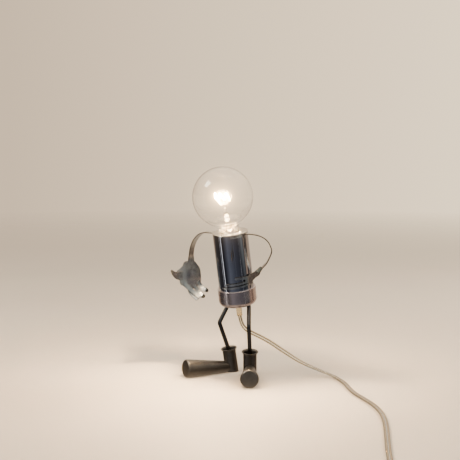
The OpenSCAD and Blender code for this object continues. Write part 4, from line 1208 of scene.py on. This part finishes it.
def strip_section(thickness, edge, width):
    """Half a width each way, with rounded edges."""
    h, e = thickness / 2, edge
    corner = [(e / width * (1 - math.cos(a)), e * (1 - math.sin(a)))
              for a in (math.radians(30 * k) for k in range(4))]
    right = [(0.5 - x, h - y) for x, y in corner]
    top = right + [(-x, y) for x, y in reversed(right)]
    return top + [(-x, -y) for x, y in top]


def eye_start(centre, way, radius):
    """The rounded end of a strip: points up to its hole, and the share of its width at each."""
    turns = [math.radians(90 * k / EYE_STEPS) for k in range(1, EYE_STEPS + 1)]
    return ([centre - way * radius * math.cos(a) for a in turns], [math.sin(a) for a in turns])


def flat_piece(outline, arms, matrix, finishes):
    """A plate cut to a smooth outline in millimetres, with its edges broken; it lies across z."""
    outline = smooth_loop([(x, y, 0) for x, y in outline], 4)
    piece = primitive(bpy.ops.mesh.primitive_circle_add, vertices=len(outline), radius=MM,
                      fill_type="NGON")
    piece.name = "palm"
    for v, q in zip(piece.data.vertices, outline):
        v.co = (q.x * MM, q.y * MM, -arms.arm_t / 2)
    rise = {"value": (0, 0, arms.arm_t)}
    on_all(piece, (bpy.ops.mesh.extrude_region_move, {"TRANSFORM_OT_translate": rise}), FACE_OUT)
    apply_modifier(piece, "BEVEL", width=arms.edge, segments=2, limit_method="ANGLE",
                   angle_limit=math.radians(60))
    for finish in finishes:
        piece.data.materials.append(finish)
    # The side faces take the second finish, painted shade on the plate's thickness
    for face in piece.data.polygons:
        face.material_index = int(abs(face.normal.z) < 0.9)
    set_down(piece, matrix @ UPRIGHT)
    return piece


def finger_widths(count, width):
    """Full width, rounded off over the last fifth."""
    shares = [i / (count - 1) for i in range(count)]
    return [width * math.sqrt(max(0.10, 1 - ((t - 0.8) / 0.2) ** 2)) if t > 0.8 else width
            for t in shares]


class LAMP_OT_arms(Operator):
    """Cut and bend both arms with their hands"""

    bl_idname = "lamp.arms"
    bl_label = "Arms"
    bl_options = {"REGISTER", "UNDO"}

    def execute(self, context):
        finish = context.scene.lamp_finish
        # The second finish paints shade on the cut edges of every strip, palm and finger
        steel = (sheet_metal("polished_strip", finish.strip),
                 turned_steel("painted_shade_edge", finish.edge))
        hand_over(self.open_arm(context, steel), None, "strip", "right_arm", "right_arm")
        hand_over(self.hip_arm(context, steel), None, "strip", "left_arm", "left_arm")
        return {"FINISHED"}

    def thin(self, arms):
        """The section of what runs into a plate: a little thinner, so that no faces coincide."""
        return strip_section(arms.arm_t - THINNER, arms.edge, arms.finger_w)

    def root(self, side):
        """The middle of the arm's thickness at its screw."""
        b, arms = bpy.context.scene.lamp_body, bpy.context.scene.lamp_arms
        middle = -b.plate_t - WASHER_T - PIN_GAP - arms.arm_t / 2
        return in_body() @ Vector((side * arms.shoulder_x, 0, middle))

    def pierce(self, arm, side):
        b, arms = bpy.context.scene.lamp_body, bpy.context.scene.lamp_arms
        top = -b.plate_t + MM
        drill(arm, in_body() @ shift(side * arms.shoulder_x, 0, top), M3_HOLE_R, ARM_DRILL)
        return tidy_mesh(arm)

    def open_arm(self, context, steel):
        arms, b = context.scene.lamp_arms, context.scene.lamp_body
        floor, root = on_floor(), self.root(-1)
        middle, reach = floor.to_translation(), arms.reach
        way = Vector((-1, 0, 0))
        start, shares = eye_start(root, way, arms.arm_w / 2)
        level = [root + way * d + Vector((0, 0, -ROOT_STEP * min(1, d / 0.01)))
                 for d in (0.006, 0.012, ARM_STRAIGHT - arms.shoulder_x)]
        low = root.z - ROOT_STEP
        steps = 28
        arc = [Vector((middle.x - ARM_STRAIGHT - (reach - ARM_STRAIGHT) * math.sin(a), root.y,
                       low - ARM_DROP * (1 - math.cos(a))))
               for a in (math.pi / 2 * i / steps for i in range(1, steps + 1))]
        wrist = [Vector((middle.x - reach, root.y, WRIST_TOP - d * MM))
                 for d in (2, 4, 6, 8, 11, 15)]
        line = start + level + arc + wrist
        before = len(start) + len(level)
        across = []
        for i, p in enumerate(line):
            lay = b.lean * max(0.0, 1 - max(0, i - before) / 8)
            twist = HAND_TWIST * eased((TWIST_TOP - p.z) / TWIST_LONG)
            across.append(Vector((math.sin(twist), math.cos(twist) * math.cos(lay),
                                  math.sin(lay))))
        widths = [arms.arm_w * s for s in shares] + [arms.arm_w] * (len(line) - len(shares))
        strip = swept("open_arm", line, across, self.thin(arms), widths, steel)

        hand = floor @ shift(-reach, root.y - middle.y, HAND_Z) @ spun(-HAND_TWIST, "Z")
        palm = flat_piece(RIGHT_PALM, arms, hand, steel)
        pieces = [strip]
        face = (hand.to_3x3() @ Vector((1, 0, 0))).normalized()
        for guide, width in [(f, None) for f in RIGHT_FINGERS] + [(RIGHT_THUMB, THUMB_WIDTHS)]:
            line = smooth([hand @ (Vector((out, x, z)) * MM) for x, z, out in guide], 6)
            widths = ([q.x * MM for q in smooth([(w, 0, 0) for w in width], 6)] if width
                      else finger_widths(len(line), arms.finger_w))
            across = [face.cross(square_to(heading(line, i), face)) for i in range(len(line))]
            pieces.append(swept("finger", line, across, self.thin(arms), widths, steel))
        return self.pierce(united("open_arm", palm, *pieces), -1)

    def hip_arm(self, context, steel):
        arms, b = context.scene.lamp_arms, context.scene.lamp_body
        here, root = in_body(), self.root(1)
        out = Vector((math.cos(LEFT_BACK), math.sin(LEFT_BACK), 0))
        over = Vector((-out.y, out.x, 0))
        way = (here.to_3x3() @ out).normalized()
        side = (here.to_3x3() @ over).normalized()
        start, shares = eye_start(root, way, arms.arm_w / 2)
        foot = Vector((root.x, root.y, 0))
        guide = [foot + (out * u + over * v) * MM + Vector((0, 0, z * MM))
                 for u, v, z in LEFT_GUIDE]
        line = start + smooth([root, root + way * 0.005] + guide, 5)[1:]
        turn = smooth([side, side] + [Vector(a) for a in LEFT_ACROSS], 5)[1:]
        across = [side] * len(start) + turn
        widths = [arms.arm_w * s for s in shares] + [arms.arm_w] * len(turn)
        strip = swept("hip_arm", line, across, self.thin(arms), widths, steel)

        grip = b.tube_d / 2 + GRIP_GAP + arms.arm_t / 2
        lip = lip_z()
        palm = flat_piece(LEFT_PALM, arms, here @ shift(grip, 0, lip), steel)
        pieces = [strip]
        up = (here.to_3x3() @ Vector((0, 0, 1))).normalized()
        for root_z, end_z, far, root_w, end_w in LEFT_FINGERS:
            line, widths = [], []
            for i in range(GRIP_STEPS + 1):
                t = i / GRIP_STEPS
                a = math.radians(GRIP_START - (far + GRIP_START) * t)
                x = grip if a > 0 else grip * math.cos(a)
                z = lip + (root_z + (end_z - root_z) * t) * MM
                line.append(here @ Vector((x, grip * math.sin(a), z)))
                tip = math.sqrt(max(0.12, 1 - ((t - 0.95) / 0.05) ** 2)) if t > 0.95 else 1.0
                widths.append((root_w + (end_w - root_w) * t) * MM * tip)
            pieces.append(swept("finger", line, [up] * len(line), self.thin(arms), widths, steel))
        return self.pierce(united("hip_arm", palm, *pieces), 1)


# ---------- legs ----------

PIN_START, HIP_STUB = 0.0001, 0.003
HIP_BEND, KNEE_BEND, ANKLE_BEND = 0.006, 0.007, 0.009
CAVITY, ANKLE_FLOOR = 0.017, 0.008
ANKLE_WALL, RIM_T, FLARE_H = 0.0014, 0.0011, 0.006
M5_R, M5_NUT_H, M5_WASHER_T, THREAD_END = 0.0025, 0.004, 0.001, 0.0028
THREAD_PITCH, THREAD_CUT = 0.0008, 0.0003
THREAD_LAP, THREAD_PAST = 0.002, 0.0015     # how far a thread runs into its rod and past its nut
ROD_SUNK = 0.005                            # how deep in the ankle cup the last bend is


def bent(corners, bends, steps=12):
    """A line through corners, with a bend of its own radius at each inner one."""
    line = [corners[0]]
    for a, b, c, big in zip(corners, corners[1:], corners[2:], bends):
        u, v = (b - a).normalized(), (c - b).normalized()
        turn = u.angle(v)
        m = square_to(v, u)
        middle = b - u * big * math.tan(turn / 2) + m * big
        line += [middle - m * big * math.cos(a) + u * big * math.sin(a)
                 for a in (turn * k / steps for k in range(steps + 1))]
    return line + [corners[-1]]


def threaded(name, low, high, matrix):
    """A threaded end, with a groove for each turn of its thread."""
    outline = [(0, low), (M5_R - THREAD_CUT, low)]
    turns = int((high - low) / THREAD_PITCH) - 1
    for k in range(turns):
        z = low + THREAD_PITCH * (k + 0.6)
        outline += [(M5_R, z), (M5_R - THREAD_CUT, z + THREAD_PITCH / 2)]
    outline += [(M5_R - THREAD_CUT, high), (0, high)]
    return turned(name, outline, matrix, loop=False, sides=32)


class LAMP_OT_legs(Operator):
    """Bend the two leg rods and cut their threads"""

    bl_idname = "lamp.legs"
    bl_label = "Legs"
    bl_options = {"REGISTER", "UNDO"}

    def execute(self, context):
        b, legs = context.scene.lamp_body, context.scene.lamp_legs
        here, floor = in_body(), on_floor()
        hip = cup_z()
        dark = polished("dark_rod", context.scene.lamp_finish.rod, here, (0.10, 0.24), 0.12)
        for side in SIDES:
            ankle = in_ankle(side)
            start = here @ Vector((side * b.hip_x, 0, hip))
            middle = floor.to_translation()
            knee = Vector((middle.x + side * (legs.ankle_x + b.hip_x) / 2, start.y, legs.knee_z))
            knee += toe_way(side) * legs.knee_reach
            line = bent([here @ Vector((side * b.hip_x, 0, hip - PIN_START)),
                         here @ Vector((side * b.hip_x, 0, hip - HIP_STUB)), knee,
                         ankle @ Vector((0, 0, -ROD_SUNK)),
                         ankle @ Vector((0, 0, M5_NUT_H - CAVITY + PIN_START))],
                        (HIP_BEND, KNEE_BEND, ANKLE_BEND))
            rod = wire("rod", line, legs.rod_d / 2, 32)
            upper = threaded("thread", hip - THREAD_LAP,
                             hip + b.cup_floor + M5_WASHER_T + M5_NUT_H + THREAD_END,
                             here @ shift(side * b.hip_x, 0, 0))
            lower = threaded("thread", -CAVITY - ANKLE_FLOOR - M5_NUT_H - THREAD_PAST,
                             M5_NUT_H - CAVITY + THREAD_PAST, ankle)
            name = SIDE_NAME[side]
            leg = joined(name + "_rod", rod, upper, lower)
            hand_over(leg, dark, "rod", name + "_leg", name + "_leg_rod")
        return {"FINISHED"}


# ---------- feet ----------

COUNTERBORE_R = 0.0065
SOLE_FLAT, TOE_ROUND, HEEL_BACK = 0.0005, 0.003, 0.0103
SHOE_GAP, THREAD_GAP = 0.00005, 0.00005
UNDER_FLOOR = 0.005               # what the floor cuts off
FLOOR_BLOCK = 0.4


def cut_at_floor(piece):
    """Takes away what is below the floor."""
    cut_away(piece, primitive(bpy.ops.mesh.primitive_cube_add, size=FLOOR_BLOCK,
                              location=(0, 0, -FLOOR_BLOCK / 2)))
    return tidy_mesh(piece)


class LAMP_OT_feet(Operator):
    """Turn the ankle cups and the shoes and cut them flat for the floor"""

    bl_idname = "lamp.feet"
    bl_label = "Feet"
    bl_options = {"REGISTER", "UNDO"}

    def execute(self, context):
        finish = context.scene.lamp_finish
        for side in SIDES:
            name = SIDE_NAME[side]
            cup_satin = lathed(name + "_ankle_satin", finish.satin, in_ankle(side))
            shoe_satin = lathed(name + "_shoe_satin", finish.satin, self.shoe_axis(side))
            hand_over(self.ankle_cup(side), cup_satin, "satin", name + "_foot",
                      name + "_ankle_cup")
            hand_over(self.shoe(side), shoe_satin, "satin", name + "_foot", name + "_shoe")
        return {"FINISHED"}

    def ankle_cup(self, side):
        legs = bpy.context.scene.lamp_legs
        here = in_ankle(side)
        r = legs.ankle_d / 2
        flare = legs.ankle_rim_d / 2 - r
        low = -legs.ankle_z / math.cos(legs.ankle_lean) - UNDER_FLOOR
        arc = [math.radians(90 * k / 8) for k in range(9)]
        outer = [(r + flare * (1 - math.cos(a)), -FLARE_H + (FLARE_H - RIM_T) * math.sin(a), 0)
                 for a in arc]
        inner = [(r - ANKLE_WALL + (flare + ANKLE_WALL - RIM_T - MM) * (1 - math.cos(a)),
                  -FLARE_H - 0.0005 + (FLARE_H - 0.0002) * math.sin(a), 0) for a in arc]
        hole = M5_R + THREAD_GAP
        outline = filleted([(COUNTERBORE_R, low, 0), (r, low, 0)] + outer + [
            (r + flare, 0, 0.0004), (r + flare - RIM_T, 0, 0.0003)] + inner[::-1] + [
            (r - ANKLE_WALL, -CAVITY, 0.001), (hole, -CAVITY, 0.0002),
            (hole, -CAVITY - ANKLE_FLOOR, 0), (COUNTERBORE_R, -CAVITY - ANKLE_FLOOR, 0)])
        return cut_at_floor(turned(SIDE_NAME[side] + "_cup", outline, here))

    def shoe_axis(self, side):
        """The middle of the shoe's narrow end, z along the shoe."""
        legs = bpy.context.scene.lamp_legs
        tilt = math.asin((legs.toe_d - legs.heel_d) / 2 / (legs.toe_reach + HEEL_BACK))
        return (in_foot(side) @ shift(-HEEL_BACK, 0, legs.heel_d / 2 - SOLE_FLAT)
                @ spun(math.pi / 2 - tilt, "Y"))

    def shoe(self, side):
        legs = bpy.context.scene.lamp_legs
        big, small = legs.toe_d / 2, legs.heel_d / 2
        long = legs.toe_reach + HEEL_BACK
        outline = [(0, 0)] + filleted([(0.001, 0, 0), (small, 0, 0.0005), (big, long, TOE_ROUND),
                                       (0.001, long, 0)]) + [(0, long)]
        shoe = turned(SIDE_NAME[side] + "_toe", outline, self.shoe_axis(side), loop=False)
        deep = legs.ankle_z
        cutter = primitive(bpy.ops.mesh.primitive_cylinder_add, vertices=128,
                           radius=legs.ankle_d / 2 + SHOE_GAP, depth=deep,
                           location=(0, 0, -FLARE_H - deep / 2))
        set_down(cutter, in_ankle(side))
        cut_away(shoe, cutter)
        return cut_at_floor(shoe)


# ---------- hardware ----------

SCREW_EDGE, NUT_EDGE = 0.00015, 0.0002


class LAMP_OT_hardware(Operator):
    """Break the edges of the screws that show and finish every remaining fastener"""

    bl_idname = "lamp.hardware"
    bl_label = "Hardware"
    bl_options = {"REGISTER", "UNDO"}

    def execute(self, context):
        finish = context.scene.lamp_finish
        steel = turned_steel("plated_steel", finish.steel)
        for node in ("shoulder_screws", "cup_screws"):
            softened(node + "_soft", node, SCREW_EDGE, steel, "fastener", "torso")
        for name in SIDE_NAME.values():
            for node in (name + "_hip_nut", name + "_ankle_nuts"):
                softened(node + "_soft", node, NUT_EDGE, steel, "fastener", name + "_leg")
        refinish(steel, "shoulder_nuts", "hip_washers")
        refinish(sheet_metal("bracket_steel", finish.steel), "holder_bracket")
        refinish(moulded("fibre_washer", (0.06, 0.045, 0.035), (0.5, 0.7)), "shoulder_washers")
        return {"FINISHED"}


# ---------- panel and registration ----------

class LAMP_PT_panel(Panel):
    """Lists the lamp's pieces and their sizes"""

    bl_idname = "LAMP_PT_panel"
    bl_label = "Robot Desk Lamp"
    bl_space_type = "VIEW_3D"
    bl_region_type = "UI"
    bl_category = "Robot Lamp"

    def draw(self, context):
        for step, group in STEPS:
            box = self.layout.box()
            box.operator(step.bl_idname)
            settings = getattr(context.scene, group)
            for key in settings.__annotations__:
                box.prop(settings, key)


# Each step in order, with the settings shown beside it
STEPS = ((LAMP_OT_stage, "lamp_stage"), (LAMP_OT_lead, "lamp_lead"), (LAMP_OT_body, "lamp_body"),
         (LAMP_OT_head, "lamp_head"), (LAMP_OT_arms, "lamp_arms"), (LAMP_OT_legs, "lamp_legs"),
         (LAMP_OT_feet, "lamp_legs"), (LAMP_OT_hardware, "lamp_finish"))
GROUPS = {"lamp_body": LampBodySettings, "lamp_head": LampHeadSettings,
          "lamp_arms": LampArmSettings, "lamp_legs": LampLegSettings,
          "lamp_lead": LampLeadSettings, "lamp_finish": LampFinishSettings,
          "lamp_stage": LampStageSettings}


def register():
    for name, group in GROUPS.items():
        bpy.utils.register_class(group)
        setattr(bpy.types.Scene, name, PointerProperty(type=group))
    for step, _ in STEPS:
        bpy.utils.register_class(step)
    bpy.utils.register_class(LAMP_PT_panel)


def unregister():
    bpy.utils.unregister_class(LAMP_PT_panel)
    for step, _ in reversed(STEPS):
        bpy.utils.unregister_class(step)
    for name, group in reversed(GROUPS.items()):
        delattr(bpy.types.Scene, name)
        bpy.utils.unregister_class(group)


def corners(box):
    """A box as plain lists of numbers."""
    return [[float(c) for c in corner] for corner in box]


def main():
    register()
    bpy.ops.lamp.stage()
    bpy.ops.lamp.lead()
    bpy.ops.lamp.body()
    bpy.ops.lamp.head()
    bpy.ops.lamp.arms()
    bpy.ops.lamp.legs()
    bpy.ops.lamp.feet()
    bpy.ops.lamp.hardware()
    deselect_all()


if __name__ == "__main__":
    main()
